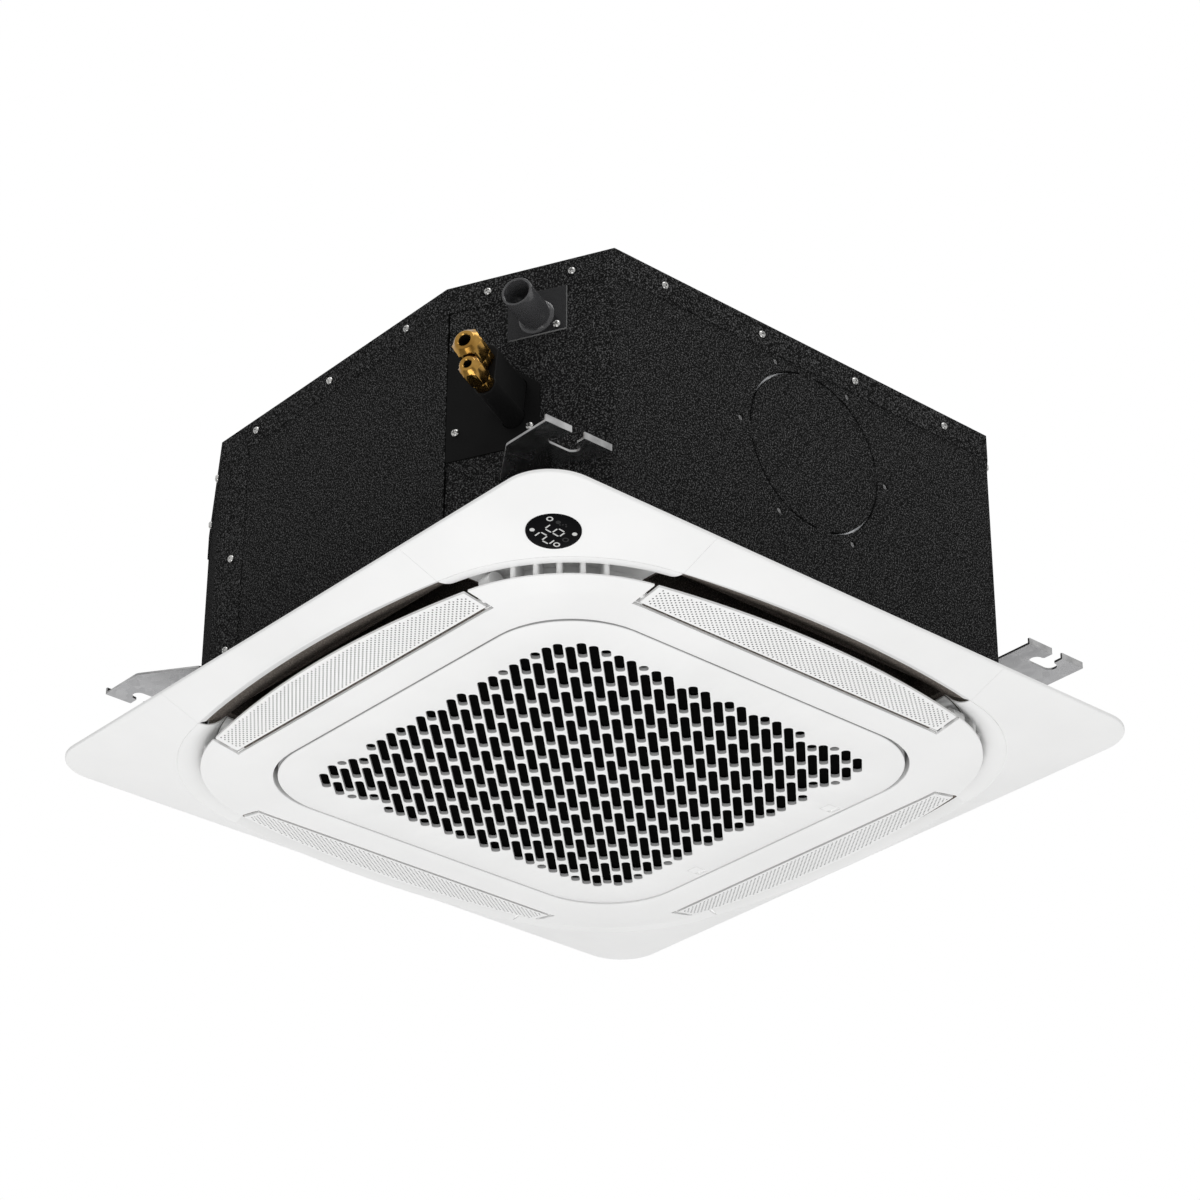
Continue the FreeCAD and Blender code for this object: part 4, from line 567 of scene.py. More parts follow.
# Black painted sheet; on the hangers' tabs the same black is painted shade against the body.
BLACK_SHEET_AND_SHADE = Finish("black painted sheet", MOULDED, grey(0.0045), grey(0.007), (0.5, 0.65), 0.01,
                     specular=0.05)
RUBBER = Finish("black rubber", MOULDED, grey(0.003), grey(0.007), (0.5, 0.7), 0.02, specular=0.08)
DARK_PLASTIC = Finish("dark moulded plastic", MOULDED, (0.012, 0.012, 0.013), (0.03, 0.03, 0.031),
                      (0.45, 0.65), 0.03)
FILTER = Finish("black filter net", SPECKLED, grey(0.0015), grey(0.006), (0.8, 0.95), 0.1, specular=0.02)
DIMPLE = Finish("shaded dimple", MOULDED, grey(0.2), grey(0.26), (0.6, 0.8), specular=0.1)
SLOT_WALL = Finish("shaded slot wall", MOULDED, grey(0.38), grey(0.46), (0.5, 0.7), 0.01, specular=0.2)
HOLE_CUP = Finish("pale hole cup", MOULDED, grey(0.5), grey(0.62), (0.4, 0.55), 0.01)
CLEAR = Finish("smoky clear plastic", MOULDED, (0.13, 0.13, 0.135), (0.18, 0.18, 0.185), (0.08, 0.16),
               see_through=0.6, bend=1.4)
THIN_CLEAR = Finish("thin smoky sheet", MOULDED, (0.04, 0.04, 0.042), (0.06, 0.06, 0.062), (0.1, 0.2),
                    see_through=0.5, bend=1.2)
# A painted highlight for the edges of the drain's clear sheet.
SHEET_EDGE_HIGHLIGHT = Finish("bright sheet edge", MOULDED, grey(0.2), grey(0.3), (0.2, 0.3))
HAZE = Finish("milky plastic", MOULDED, grey(0.08), grey(0.11), (0.4, 0.55), 0.01)
COPPER = Finish("copper tube", DRAWN, (0.5, 0.24, 0.13), (0.72, 0.38, 0.24), (0.22, 0.4), 0.004, 1.0)
BRASS = Finish("machined brass", DRAWN, (0.22, 0.115, 0.024), (0.42, 0.245, 0.064), (0.14, 0.24), 0.001, 1.0)
BORE = Finish("shaded bore", DRAWN, (0.004, 0.003, 0.002), (0.012, 0.008, 0.004), (0.6, 0.8), specular=0.05)
FINS = Finish("bare aluminium", DRAWN, (0.6, 0.61, 0.62), (0.78, 0.79, 0.8), (0.25, 0.42), 0.01, 1.0)
MOTOR = Finish("painted motor case", MOULDED, (0.03, 0.03, 0.032), (0.06, 0.06, 0.062), (0.4, 0.55), 0.03)
BOARD = Finish("printed board", MOULDED, (0.01, 0.09, 0.035), (0.025, 0.15, 0.06), (0.35, 0.5), 0.03)
FLOAT = Finish("white float", MOULDED, (0.76, 0.76, 0.74), (0.83, 0.83, 0.81), (0.4, 0.55), 0.02)
LENS = Finish("black display window", MOULDED, (0.0025, 0.0025, 0.003), (0.004, 0.004, 0.0045), (0.06, 0.12),
              specular=0.04)
DIGIT = Finish("lit marks", MOULDED, (0.45, 0.45, 0.44), (0.55, 0.55, 0.54), (0.4, 0.5), glow=0.1)
DIM = Finish("unlit marks", MOULDED, grey(0.02), grey(0.035), (0.4, 0.5), specular=0.05)
FLOOR = Finish("pale floor", MOULDED, grey(0.78), grey(0.82), (0.7, 0.8))

SLOT_FINISH = {
    "white_plastic": WHITE, "display_glass": LENS, "black_foam": FOAM, "white_foam": BEAD_FOAM,
    "galvanised_steel": SHEET, "zinc_screws": ZINC, "grey_plastic": DARK_PLASTIC, "clear_plastic": CLEAR,
    "black_sheet": BLACK_SHEET_AND_SHADE, "soft_rubber": RUBBER, "motor_paint": MOTOR, "board_green": BOARD,
    "aluminium_fins": FINS, "copper": COPPER, "brass": BRASS, "float_plastic": FLOAT,
}
# The inner liner, drain pan and seal take the duct finish, which is in part painted shade.
NODE_FINISH = {
    "top_cover": FOAM, "inner_liner": DUCT_FOAM_AND_SHADE, "drain_pan": DUCT_FOAM_AND_SHADE, "panel_seal": DUCT_FOAM_AND_SHADE, "air_filter": FILTER,
    "louvre_motors": WHITE,
}


# Pieces
def linked(name: str, data: bpy.types.ID) -> bpy.types.Object:
    """A new object in the scene with its data."""
    made = bpy.data.objects.new(name, data)
    bpy.context.scene.collection.objects.link(made)
    return made


def shade(mesh: bpy.types.Mesh, angle: float) -> None:
    """Shade a mesh smooth, but for edges sharper than an angle."""
    mesh.polygons.foreach_set("use_smooth", np.ones(len(mesh.polygons), bool))
    mesh.set_sharp_from_angle(angle=angle)


def dress(piece: bpy.types.Object, *finishes: Finish) -> None:
    """Give a piece its finishes, the first of them all over."""
    piece.data.materials.clear()
    for finish in finishes:
        piece.data.materials.append(finish.material())


def paint(piece: bpy.types.Object, index: np.ndarray, *finishes: Finish) -> None:
    """Give a piece finishes and say which of them each face has.

    Args:
        piece: the piece.
        index: each face's finish by its number, or whether it has the second of two.
        finishes: the finishes.
    """
    dress(piece, *finishes)
    piece.data.polygons.foreach_set("material_index", index.astype(int))


def mark_open_edges(mesh: bpy.types.Mesh) -> None:
    """Keep edges with one face sharp, so that a wall grown behind them doesn't bend the shading."""
    edge = np.zeros(len(mesh.loops), int)
    mesh.loops.foreach_get("edge_index", edge)
    sharp = np.zeros(len(mesh.edges), bool)
    mesh.edges.foreach_get("use_edge_sharp", sharp)
    mesh.edges.foreach_set("use_edge_sharp", sharp | (np.bincount(edge, minlength=len(sharp)) == 1))


def face_values(mesh: bpy.types.Mesh, name: str) -> np.ndarray:
    """A vector of each face of a mesh, as rows of three."""
    values = np.zeros(len(mesh.polygons) * 3)
    mesh.polygons.foreach_get(name, values)
    return values.reshape(-1, 3)


def round_corners(piece: bpy.types.Object, way: np.ndarray, radius: float, longest: float) -> None:
    """Round the corners of a sheet's outline, which are its short convex edges across the sheet.

    Args:
        piece: a merged copy of a sheet.
        way: the unit direction across the sheet.
        radius: the rounding in millimetres.
        longest: the longest edge that counts, in millimetres.
    """
    work = bmesh.new()
    work.from_mesh(piece.data)
    edges = []
    for edge in work.edges:
        run = edge.verts[1].co - edge.verts[0].co
        across = abs(run.dot(Vector(way))) > 0.99 * run.length
        if across and run.length < longest * MM and len(edge.link_faces) == 2 and edge.is_convex:
            edges.append(edge)
    bmesh.ops.bevel(work, geom=edges, offset=radius * MM, segments=6, affect="EDGES", profile=0.5,
                    clamp_overlap=True)
    work.to_mesh(piece.data)
    work.free()


def add_bevel(piece: bpy.types.Object, width: float) -> None:
    """Round a piece's sharp edges by a width in millimetres."""
    bevel = piece.modifiers.new("edges", "BEVEL")
    bevel.width = width * MM
    bevel.segments = 2
    bevel.limit_method = "ANGLE"
    bevel.angle_limit = BEVEL_FROM
    bevel.use_clamp_overlap = True


def make_piece(name: str, surface: Surface, finish: Finish = WHITE, body: str = "unit",
               wall: float = 0.0, bevel: float = 0.0,
               closed: bool = False) -> bpy.types.Object:
    """Put a surface into a mesh and make it a piece that rides on a body.

    Args:
        name: the piece's name.
        surface: its points and faces, in millimetres.
        finish: its finish.
        body: the body it moves with.
        wall: thickness grown behind the faces, or 0.
        bevel: rounding of sharp edges, or 0.
        closed: whether its faces are to be turned outwards.

    Returns:
        The piece.
    """
    mesh = bpy.data.meshes.new(name)
    corners = np.concatenate([surface.quads.ravel(), surface.tris.ravel()])
    sizes = np.concatenate([np.full(len(surface.quads), 4), np.full(len(surface.tris), 3)])
    starts = np.concatenate([[0], np.cumsum(sizes)[:-1]])
    mesh.vertices.add(len(surface.points))
    mesh.vertices.foreach_set("co", (surface.points * MM).ravel())
    mesh.loops.add(len(corners))
    mesh.loops.foreach_set("vertex_index", corners)
    mesh.polygons.add(len(sizes))
    mesh.polygons.foreach_set("loop_start", starts)
    mesh.update(calc_edges=True)
    mesh.validate()
    work = bmesh.new()
    work.from_mesh(mesh)
    bmesh.ops.remove_doubles(work, verts=work.verts, dist=PIECE_WELD)
    if closed:
        bmesh.ops.recalc_face_normals(work, faces=work.faces)
    work.to_mesh(mesh)
    work.free()
    shade(mesh, PIECE_SHARP)
    mark_open_edges(mesh)
    piece = linked(name, mesh)
    if wall:
        solid = piece.modifiers.new("wall", "SOLIDIFY")
        solid.thickness = wall * MM
        solid.offset = -1
    if bevel:
        add_bevel(piece, bevel)
    dress(piece, finish)
    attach(piece, body)
    LOG.info("%s: %d points on %s", name, len(mesh.vertices), body)
    return piece


def smooth_copy(node: str, finish: Finish, bevel: float) -> bpy.types.Object:
    """A merged copy of a frame node with rounded edges, which stands for it.

    Args:
        node: the node's name.
        finish: the copy's finish.
        bevel: the rounding in millimetres.

    Returns:
        The copy.
    """
    mesh = frame["nodes"][node].data.copy()
    work = bmesh.new()
    work.from_mesh(mesh)
    bmesh.ops.remove_doubles(work, verts=work.verts, dist=NODE_WELD)
    bmesh.ops.dissolve_limit(work, angle_limit=FLAT_WITHIN, verts=work.verts, edges=work.edges)
    work.to_mesh(mesh)
    work.free()
    shade(mesh, NODE_SHARP)
    piece = linked("dressed_" + node, mesh)
    add_bevel(piece, bevel)
    dress(piece, finish)
    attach(piece, body_of(frame["nodes"][node])[0])
    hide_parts(node)
    LOG.info("%s: a smooth copy", node)
    return piece


@dataclass
class Panel:
    """The square panel: its flange in four sides and four corner covers, the ring slot and the dished face.

    Rows of rounds and shares are pairs of a way in and a height, in millimetres or as a share of the span.
    """

    seam: float = 155.0
    seam_gap: float = 0.16
    edge: float = 3.0
    edge_round: tuple[tuple[float, float], ...] = ((0.0, -0.1), (0.0, -1.7), (0.2, -2.4), (0.75, -2.95))
    lip_round: tuple[tuple[float, float], ...] = (
        (-0.9, -16.75), (-0.3, -16.98), (0.25, -16.9), (0.8, -16.5), (1.6, -15.7))
    rim_drop: float = 17.0
    skin: float = 1.8
    face_wall: float = 2.2
    slot_wall: float = 1.0
    roof_wall: float = 1.5
    side_points: int = 41
    cover_points: int = 73
    duct_points: int = 49
    roof_points: int = 31
    face_points: tuple[int, int] = (33, 41)
    inner_points: tuple[int, int] = (21, 31)
    dish: float = 4.5
    dish_shares: tuple[float, ...] = (0.25, 0.5, 0.75, 0.985)
    bound_rises: tuple[float, ...] = (0.35, 1.6)
    flat_shares: tuple[tuple[float, float], ...] = ((0.008, 0.25), (0.03, 0.0), (0.5, 0.0), (1.0, 0.0))
    opening_top: float = -1.0
    opening_round: float = 0.9
    window_half: float = 164.5
    rim: Outline = Outline(301.0, 150.0, 344.0)
    duct: Outline = Outline(266.0, 140.0, 312.0)
    bound: Outline = Outline(281.0, 130.0, 324.0)
    flat: Outline = Outline(239.0, 85.0)
    opening: Outline = Outline(208.0, 74.0)
    keeper_low: float = -23.8
    keeper_high: float = -19.2
    keeper_y: float = 83.0
    keeper_half: float = 6.4
    edge_radius: float = 40.0
    bulge: float = 2.2
    roof_z: float = -2.6
    inner_low: float = 2.4
    inner_top: float = -0.2
    lip_rows: int = 4
    vane_count: int = 5
    vane_step: float = 8.1
    vane_thick: float = 4.6
    vane_long: float = 30.0
    vane_out: float = -1.5
    vane_up: float = 1.4
    vane_bevel: float = 0.4
    pin_half: float = 5.9
    post_half: float = 3.0
    post_thick: float = 1.2
    post_top: float = -0.2
    post_foot: float = -2.7
    post_bevel: float = 0.5

    def __post_init__(self) -> None:
        """Take the overall sizes from the frame."""
        low, high = node_box("panel_frame")
        self.face_z = low[2]
        self.outer = Outline(high[0], self.edge_radius)

    def hinge(self) -> tuple[float, float, float]:
        """X and Z of the grille's hinge line, and how far from the middle each pin is centred."""
        low, high = node_box("hinge_pins")
        return (low[0] + high[0]) / 2, (low[2] + high[2]) / 2, high[1] - self.pin_half

    def flange(self, outer: np.ndarray, rim: np.ndarray) -> Surface:
        """A stretch of flange: each column runs straight from the edge to the rim, and both ends are rounded.

        A row's place is the outer point moved towards the rim point by a share of their distance and some
        millimetres.

        Args:
            outer: points on the panel's edge.
            rim: the points on the slot's rim that they run to.

        Returns:
            The surface, looking down and out.
        """
        span = np.linalg.norm(rim - outer, axis=1, keepdims=True)
        way = (rim - outer) / span
        slope, inset = self.rim_drop - self.edge, self.edge_round[-1][0]
        rows = [(0, more, z) for more, z in self.edge_round]
        rows += [(share, inset * (1 - share), -self.edge - slope * share)
                 for share in np.linspace(0.06, 0.94, 9)]
        rows += [(1, more, z) for more, z in self.lip_round]
        points = np.stack([at_height(outer + way * (span * share + more), z) for share, more, z in rows])
        return grid(points).facing(DOWN)

    def build_flange(self) -> None:
        """The four sides and the four corner covers."""
        reach = self.seam - self.seam_gap / 2
        side = self.flange(*(line.side(reach, self.side_points) for line in (self.outer, self.rim)))
        for place in Side:
            make_piece("panel_side_" + place.label, side.turned(place.value), wall=self.skin)
        start = self.seam + self.seam_gap / 2
        cover = self.flange(*(line.corner(start, self.cover_points) for line in (self.outer, self.rim)))
        for place in Corner:
            name = "corner_cover_" + place.label
            piece = make_piece("dressed_" + name, cover.turned(place.value), wall=self.skin)
            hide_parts(name)

    def build_face(self) -> None:
        """The dished face: flat round the grille's opening, then rising to its bowed bound.

        The flap windows are left open, and so are two keepers for the latches in the opening's wall.
        """
        sides, corners = self.face_points
        opening, flat, bound = (line.loop(self.window_half, sides, corners)
                                for line in (self.opening, self.flat, self.bound))
        z = self.face_z
        wall = (self.opening_top, self.keeper_high, self.keeper_low, z + self.opening_round)
        rows = [at_height(opening, up) for up in wall]
        rows += [at_height(opening + (flat - opening) * share, z + up) for share, up in self.flat_shares]
        first_dish = len(rows) - 1
        rows += [at_height(flat + (bound - flat) * share, z + self.dish * share)
                 for share in self.dish_shares]
        rows += [at_height(bound, z + self.dish + rise) for rise in self.bound_rises]
        points = np.stack(rows)
        keep = np.ones((len(rows) - 1, points.shape[1]), bool)
        column = np.arange(points.shape[1]) % (sides + corners)
        keep[first_dish:, column < sides - 1] = False
        after = np.roll(opening, -1, axis=0)
        low, high = np.minimum(opening, after)[:, 1], np.maximum(opening, after)[:, 1]
        east = np.minimum(opening, after)[:, 0] > self.opening.half - 1
        for y in (-self.keeper_y, self.keeper_y):
            keep[1, east & (high > y - self.keeper_half) & (low < y + self.keeper_half)] = False
        face = make_piece("panel_face", grid(points, True, keep).facing(DOWN), wall=self.face_wall)
        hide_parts("panel_frame")

    def build_slot(self) -> None:
        """The ring slot: its leaning wall, the wall behind the face and the roof over the corners.

        The wall's height rises with its share of the way in, evenly along the sides and as a power of it at
        the corners.
        """
        shares = np.concatenate([np.linspace(0.03, 0.5, 9), np.linspace(0.6, 1, 5)])
        # Along the sides, the leaning wall past its white lip is dark with painted shade deep in the slot;
        # round the corners it is white.
        for parts, name, finish, stretch_of, count, power in (
                (Side, "duct_side_", DUCT_FOAM_AND_SHADE, Outline.side, self.side_points, 1.0),
                (Corner, "duct_corner_", WHITE, Outline.corner, self.duct_points, self.bulge)):
            low, high = (stretch_of(line, self.seam, count) for line in (self.rim, self.duct))
            rows = [at_height(low + (high - low) * share, self.rim_drop * (share ** power - 1))
                    for share in shares]
            wall = grid(np.stack(rows)).facing(DOWN)
            lip = np.arange(len(wall.quads)) < self.lip_rows * (count - 1)
            for place in parts:
                piece = make_piece(name + place.label, wall.turned(place.value), finish, wall=self.slot_wall)
                paint(piece, lip, finish, WHITE)
        sides, corners = self.inner_points
        ring = self.flat.loop(self.seam, sides, corners)
        ends = (self.face_z + self.inner_low, self.inner_top)
        inner = grid(np.stack([at_height(ring, z) for z in ends]), True)
        # The wall behind the face is dark with painted shade along the sides and white round the corners.
        wall = make_piece("duct_inner_wall", inner, DUCT_FOAM_AND_SHADE, wall=self.slot_wall)
        paint(wall, np.arange(len(ring)) % (sides + corners) >= sides - 1, DUCT_FOAM_AND_SHADE, WHITE)
        near, far = (line.corner(self.seam, self.roof_points) for line in (self.flat, self.duct))
        roof = grid(np.stack([at_height(near + (far - near) * share, self.roof_z) for share in (0, 0.5, 1)]))
        for place in Corner:
            make_piece("duct_roof_" + place.label, roof.facing(DOWN).turned(place.value), wall=self.roof_wall)

    def build_vanes(self) -> None:
        """The air guides in the slot: upright plates with round ends, set round each corner's centre."""
        thick = self.vane_thick / 2
        end = self.bound.radius + self.vane_out - thick
        angle = np.linspace(-math.pi / 2, math.pi / 2, 9)
        nose = arc(angle, thick) + [end, 0]
        plan = np.vstack([nose, [[end - self.vane_long, thick], [end - self.vane_long, -thick]]])
        vane = prism(plan, self.face_z + self.dish + self.vane_up, self.roof_z)
        middle = np.array([self.bound.centre(), self.bound.centre(), 0])
        turns = (45 + self.vane_step * (k - (self.vane_count - 1) / 2) for k in range(self.vane_count))
        corner = merged([vane.placed(middle, spun(math.radians(turn))) for turn in turns])
        for place in Corner:
            make_piece("vanes_" + place.label, corner.turned(place.value), bevel=self.vane_bevel, closed=True)

    def build_posts(self) -> None:
        """The two posts of the grille's hinge pins: round-ended arms on feet from the opening's wall."""
        x, z, spacing = self.hinge()
        wall = -self.opening.half - self.face_wall
        thick, half, top = self.post_thick, self.post_half, self.post_top
        angle = np.linspace(math.pi, 2 * math.pi, 9)
        plan = np.vstack([arc(angle, thick), [[thick, top - z], [-thick, top - z]]])
        arm = prism(plan, -half, half)
        across = np.array([[1.0, 0, 0], [0, 0, 1], [0, -1, 0]])
        parts = []
        for y in (-spacing, spacing):
            parts.append(arm.placed(np.array([x, y, z]), across))
            parts.append(box((wall, y - half, self.post_foot), (x - thick, y + half, top)))
        make_piece("hinge_posts", merged(parts), bevel=self.post_bevel, closed=True)

    def build(self) -> None:
        """Every piece of the panel."""
        self.build_flange()
        self.build_face()
        self.build_slot()
        self.build_vanes()
        self.build_posts()


@dataclass
class Flaps:
    """The four dimpled flaps, flush with the dished face when shut."""

    panel: Panel
    wall_gap: float = 4.0
    edge_gap: float = 0.4
    bow_points: int = 65
    thick: float = 2.0
    hole_points: int = 6
    hole_r: float = 0.82
    hole_taper: float = 0.3
    step_along: float = 5.1
    step_across: float = 1.9
    margin: float = 3.0
    dimple: float = 0.7
    bead_r: float = 3.2
    bead_round: float = 0.5
    pin_r: float = 2.0
    pin_end: float = 5.8
    pin_room: float = 12.0
    axis_out: float = 6.5
    axis_up: float = 5.5

    def height(self, plan: np.ndarray) -> np.ndarray:
        """How high the flap's face is: it rises in a straight line from the flat's edge to the bowed bound.

        Args:
            plan: plan points.

        Returns:
            Their heights.
        """
        inner = self.panel.flat.half
        outer = self.panel.bound.x_at(plan[:, 1])
        return self.panel.face_z + self.panel.dish * (plan[:, 0] - inner) / (outer - inner)

    def surface(self, half: float) -> tuple[Surface, np.ndarray]:
        """The flap on the +X side: a face with dimples in staggered rows, its edges and its back.

        Args:
            half: half its length.

        Returns:
            The closed surface, and which of its faces are inside a dimple.
        """
        inner = self.panel.flat.half + self.wall_gap
        bow = self.panel.bound.side(half, self.bow_points) - np.array([self.edge_gap, 0])
        outline = np.vstack([bow, [[inner, half], [inner, -half]]])
        across = np.arange(inner + self.margin, self.panel.bound.half, self.step_across)
        along = np.arange(-half + self.margin, half - self.margin, self.step_along)
        x, y = np.meshgrid(across, along, indexing="ij")
        y = y + (np.arange(len(across)) % 2)[:, None] * self.step_along / 2
        centres = np.column_stack([x.ravel(), y.ravel()])
        room = self.panel.bound.x_at(centres[:, 1]) - self.margin
        centres = centres[(centres[:, 0] < room) & (np.abs(centres[:, 1]) < half - self.margin)]
        count = self.hole_points
        angle = np.arange(count) * math.pi / (count / 2)
        holes = centres[:, None, :] + arc(angle, self.hole_r)
        tris = pierced(outline, holes)
        flat = holes.reshape(-1, 2)
        plan = np.vstack([outline, flat])
        low = at_height(plan, self.height(plan))
        sunk = centres.repeat(count, axis=0) * self.hole_taper + flat * (1 - self.hole_taper)
        cup = at_height(sunk, self.height(flat) + self.dimple)
        index = np.arange(len(flat)).reshape(-1, count)
        wall = ring_quads(index + len(outline), index + len(low))
        caps = np.concatenate([index[:, [0, k, k + 1]] for k in range(1, count - 1)]) + len(low)
        face = Surface(np.vstack([low, cup]), wall, np.vstack([tris, caps]))
        edge = self.height(outline)
        back = grid(np.stack([at_height(outline, edge + up) for up in (0, self.thick)]), True)
        fan = np.arange(1, len(outline) - 1)
        back.tris = np.column_stack([np.zeros(len(fan), int), fan, fan + 1]) + len(outline)
        inside = np.concatenate([np.ones(len(wall)), np.zeros(len(back.quads) + len(tris)),
                                 np.ones(len(caps)), np.zeros(len(back.tris))])
        return merged([face, back]), inside

    def axle(self, half: float) -> Surface:
        """The rounded bead along the flap's inner edge with a pin at each end, turned about the hinge line.

        Args:
            half: half the flap's length.

        Returns:
            The closed surface.
        """
        end, pin, bead, less = half + self.pin_end, self.pin_r, self.bead_r, self.bead_round
        profile = np.array([[AXIS_R, -end], [pin, -end], [pin, -half], [bead - less, -half],
                            [bead, -half + less], [bead, half - less], [bead - less, half], [pin, half],
                            [pin, end], [AXIS_R, end]])
        axes = np.array([[1.0, 0, 0], [0, 0, -1.0], [0, 1.0, 0]])
        place = np.array([self.panel.flat.half + self.axis_out, 0, self.panel.face_z + self.axis_up])
        return lathe(profile, FEW).placed(place, axes)

    def build(self) -> None:
        """All four flaps with their axles."""
        half = node_box("louvre_east")[1][1] - self.pin_room
        flap, inside = self.surface(half)
        axle = self.axle(half)
        for place in Side:
            name = "louvre_" + place.label
            piece = make_piece("flap_" + place.label, flap.turned(place.value), body=name, closed=True)
            paint(piece, inside, WHITE, DIMPLE)
            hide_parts(name)
            make_piece("flap_axle_" + place.label, axle.turned(place.value), body=name, closed=True)


@dataclass
class Grille:
    """The return grille: a plate with brick-bonded slots along the near-to-far diagonal, and its skirt."""

    panel: Panel
    outline: Outline = Outline(206.0, 76.0)
    field_half: float = 172.0
    field_r: float = 40.0
    across: float = 9.2
    along: float = 49.4
    slot_long: float = 43.5
    slot_wide: float = 7.5
    shortest: float = 6.0
    end_r: float = 3.1
    mouth_round: tuple[tuple[float, float], ...] = ((0.45, 0.0), (0.12, 0.15), (0.0, 0.5))
    edge_round: tuple[tuple[float, float], ...] = ((0.8, 0.0), (0.25, 0.25), (0.0, 0.8))
    plate: float = 2.5
    collar: float = 0.8
    collar_top: float = 3.4
    skirt_top: float = 14.0
    skirt_wall: float = 1.8
    bevel: float = 0.4
    latch_y: float = 83.0
    latch_low: float = 189.7
    latch_high: float = 203.8
    latch_half: float = 5.8
    latch_r: float = 0.6
    loop_start: float = 126.0
    plate_points: tuple[int, int] = (9, 41)
    skirt_points: tuple[int, int] = (61, 31)
    post_y: float = 103.0
    post_room: float = 10.0
    ear_edges: tuple[float, float] = (-5.9, 3.4)
    ear_wide: float = 2.5
    ear_half: float = 2.2
    ear_foot: float = 1.6

    def reach(self, offset: np.ndarray) -> np.ndarray:
        """How far a column of slots may run each way inside the round-cornered field, along its diagonal.

        Args:
            offset: the columns' distances from the middle.

        Returns:
            The half lengths.
        """
        offset = np.abs(offset)
        straight = (self.field_half - self.field_r) * ROOT_TWO
        run = self.field_half * ROOT_TWO - offset
        tip = straight + np.sqrt(np.maximum(self.field_r ** 2 - offset ** 2, 0))
        run = np.where(offset < self.field_r / ROOT_TWO, tip, run)
        past = np.maximum(offset - straight, 0)
        end = np.sqrt(np.maximum(self.field_r ** 2 - past ** 2, 0))
        return np.where(past > 0, np.minimum(run, end), run)

    def slots(self) -> tuple[np.ndarray, np.ndarray]:
        """Centres and half sizes of every slot, cut short at the field's edge.

        Returns:
            Plan centres, and half length and half width of each.
        """
        columns = int(self.field_half * ROOT_TWO / self.across)
        rows = int(self.field_half * ROOT_TWO / self.along) + 1
        column, row = np.meshgrid(np.arange(-columns, columns + 1), np.arange(-rows, rows + 1),
                                  indexing="ij")
        cross = column * self.across
        middle = row * self.along + self.along / 2 * (column % 2)
        half = self.slot_wide / 2
        limit = np.minimum(self.reach(cross - half), self.reach(cross + half))
        low = np.maximum(middle - self.slot_long / 2, -limit)
        high = np.minimum(middle + self.slot_long / 2, limit)
        good = high - low >= self.shortest
        run, cross, long = ((low + high) / 2)[good], cross[good], ((high - low) / 2)[good]
        centres = np.column_stack([run + cross, run - cross]) / ROOT_TWO
        return centres, np.column_stack([long, np.full(len(long), half)])

    def rings(self, grow: float) -> np.ndarray:
        """The slots and the two latch windows as rings of points, grown all round.

        Args:
            grow: how much wider than their size.

        Returns:
            An array of holes by points by two.
        """
        centres, reach = self.slots()
        slots = rounded_holes(centres, reach + grow, self.end_r + grow, math.pi / 4)
        centre = (self.latch_low + self.latch_high) / 2
        middle = np.array([[centre, sign * self.latch_y] for sign in (-1, 1)])
        size = np.tile([[self.latch_high - centre, self.latch_half]], (2, 1))
        windows = rounded_holes(middle, size + grow, self.latch_r + max(grow, 0), 0.0)
        return np.concatenate([slots, windows])

    def surface(self) -> tuple[Surface, np.ndarray]:
        """The plate: face and back pierced by the slots, with a round at each mouth and a collar behind it.

        Returns:
            The closed plate with its rim, and which of its faces are slot walls or rim.
        """
        z = self.panel.face_z
        back_z, top = z + self.plate, z + self.collar_top
        lines = [Outline(self.outline.half - less, self.outline.radius - less) for less, _ in self.edge_round]
        inset, mid, loop = (line.loop(self.loop_start, *self.plate_points) for line in lines)
        stages = [(grow, z + up) for grow, up in self.mouth_round]
        stages += [(0.0, top), (self.collar, top), (self.collar, back_z)]
        rings = [self.rings(grow) for grow, _ in stages]
        tubes = np.stack([np.dstack([ring, np.full(ring.shape[:2], up)])
                          for ring, (_, up) in zip(rings, stages)])
        tris = pierced(inset, rings[0])
        face = Surface(np.vstack([at_height(inset, z), tubes[0].reshape(-1, 3)]), tris=tris)
        back = Surface(np.vstack([at_height(inset, back_z), tubes[-1].reshape(-1, 3)]), tris=tris[:, ::-1])
        count = tubes.shape[2]
        index = np.arange(tubes[0].size // 3).reshape(-1, count)
        step = index.size
        walls = [ring_quads(index + k * step, index + (k + 1) * step) for k in range(len(stages) - 1)]
        holes = Surface(tubes.reshape(-1, 3), np.vstack(walls))
        rises = [z + up for _, up in self.edge_round] + [back_z, back_z]
        around = zip((inset, mid, loop, loop, inset), rises)
        edge = grid(np.stack([at_height(line, up) for line, up in around]), True)
        walls_deep = np.arange(len(holes.quads)) >= 2 * step
        walls_deep &= np.tile(np.arange(step) < step - 2 * count, len(stages) - 1)
        rim_deep = np.arange(len(edge.quads)) >= 2 * len(loop)
        inside = np.concatenate([walls_deep, rim_deep, np.zeros(2 * len(tris), bool)])
        return merged([face, back, holes, edge]), inside

    def skirt(self) -> Surface:
        """The upright rim round the plate's back, left open at the hinge posts.

        Returns:
            The open surface, looking outwards.
        """
        loop = self.outline.loop(self.loop_start, *self.skirt_points)
        rows = np.stack([at_height(loop, self.panel.face_z + up) for up in (self.plate, self.skirt_top)])
        post = np.abs(np.abs(loop[:, 1]) - self.post_y) < self.post_room
        post &= loop[:, 0] < 1 - self.outline.half
        keep = ~(post & np.roll(post, -1))[None, :]
        return grid(rows, True, keep).facing((1, 0, 0))

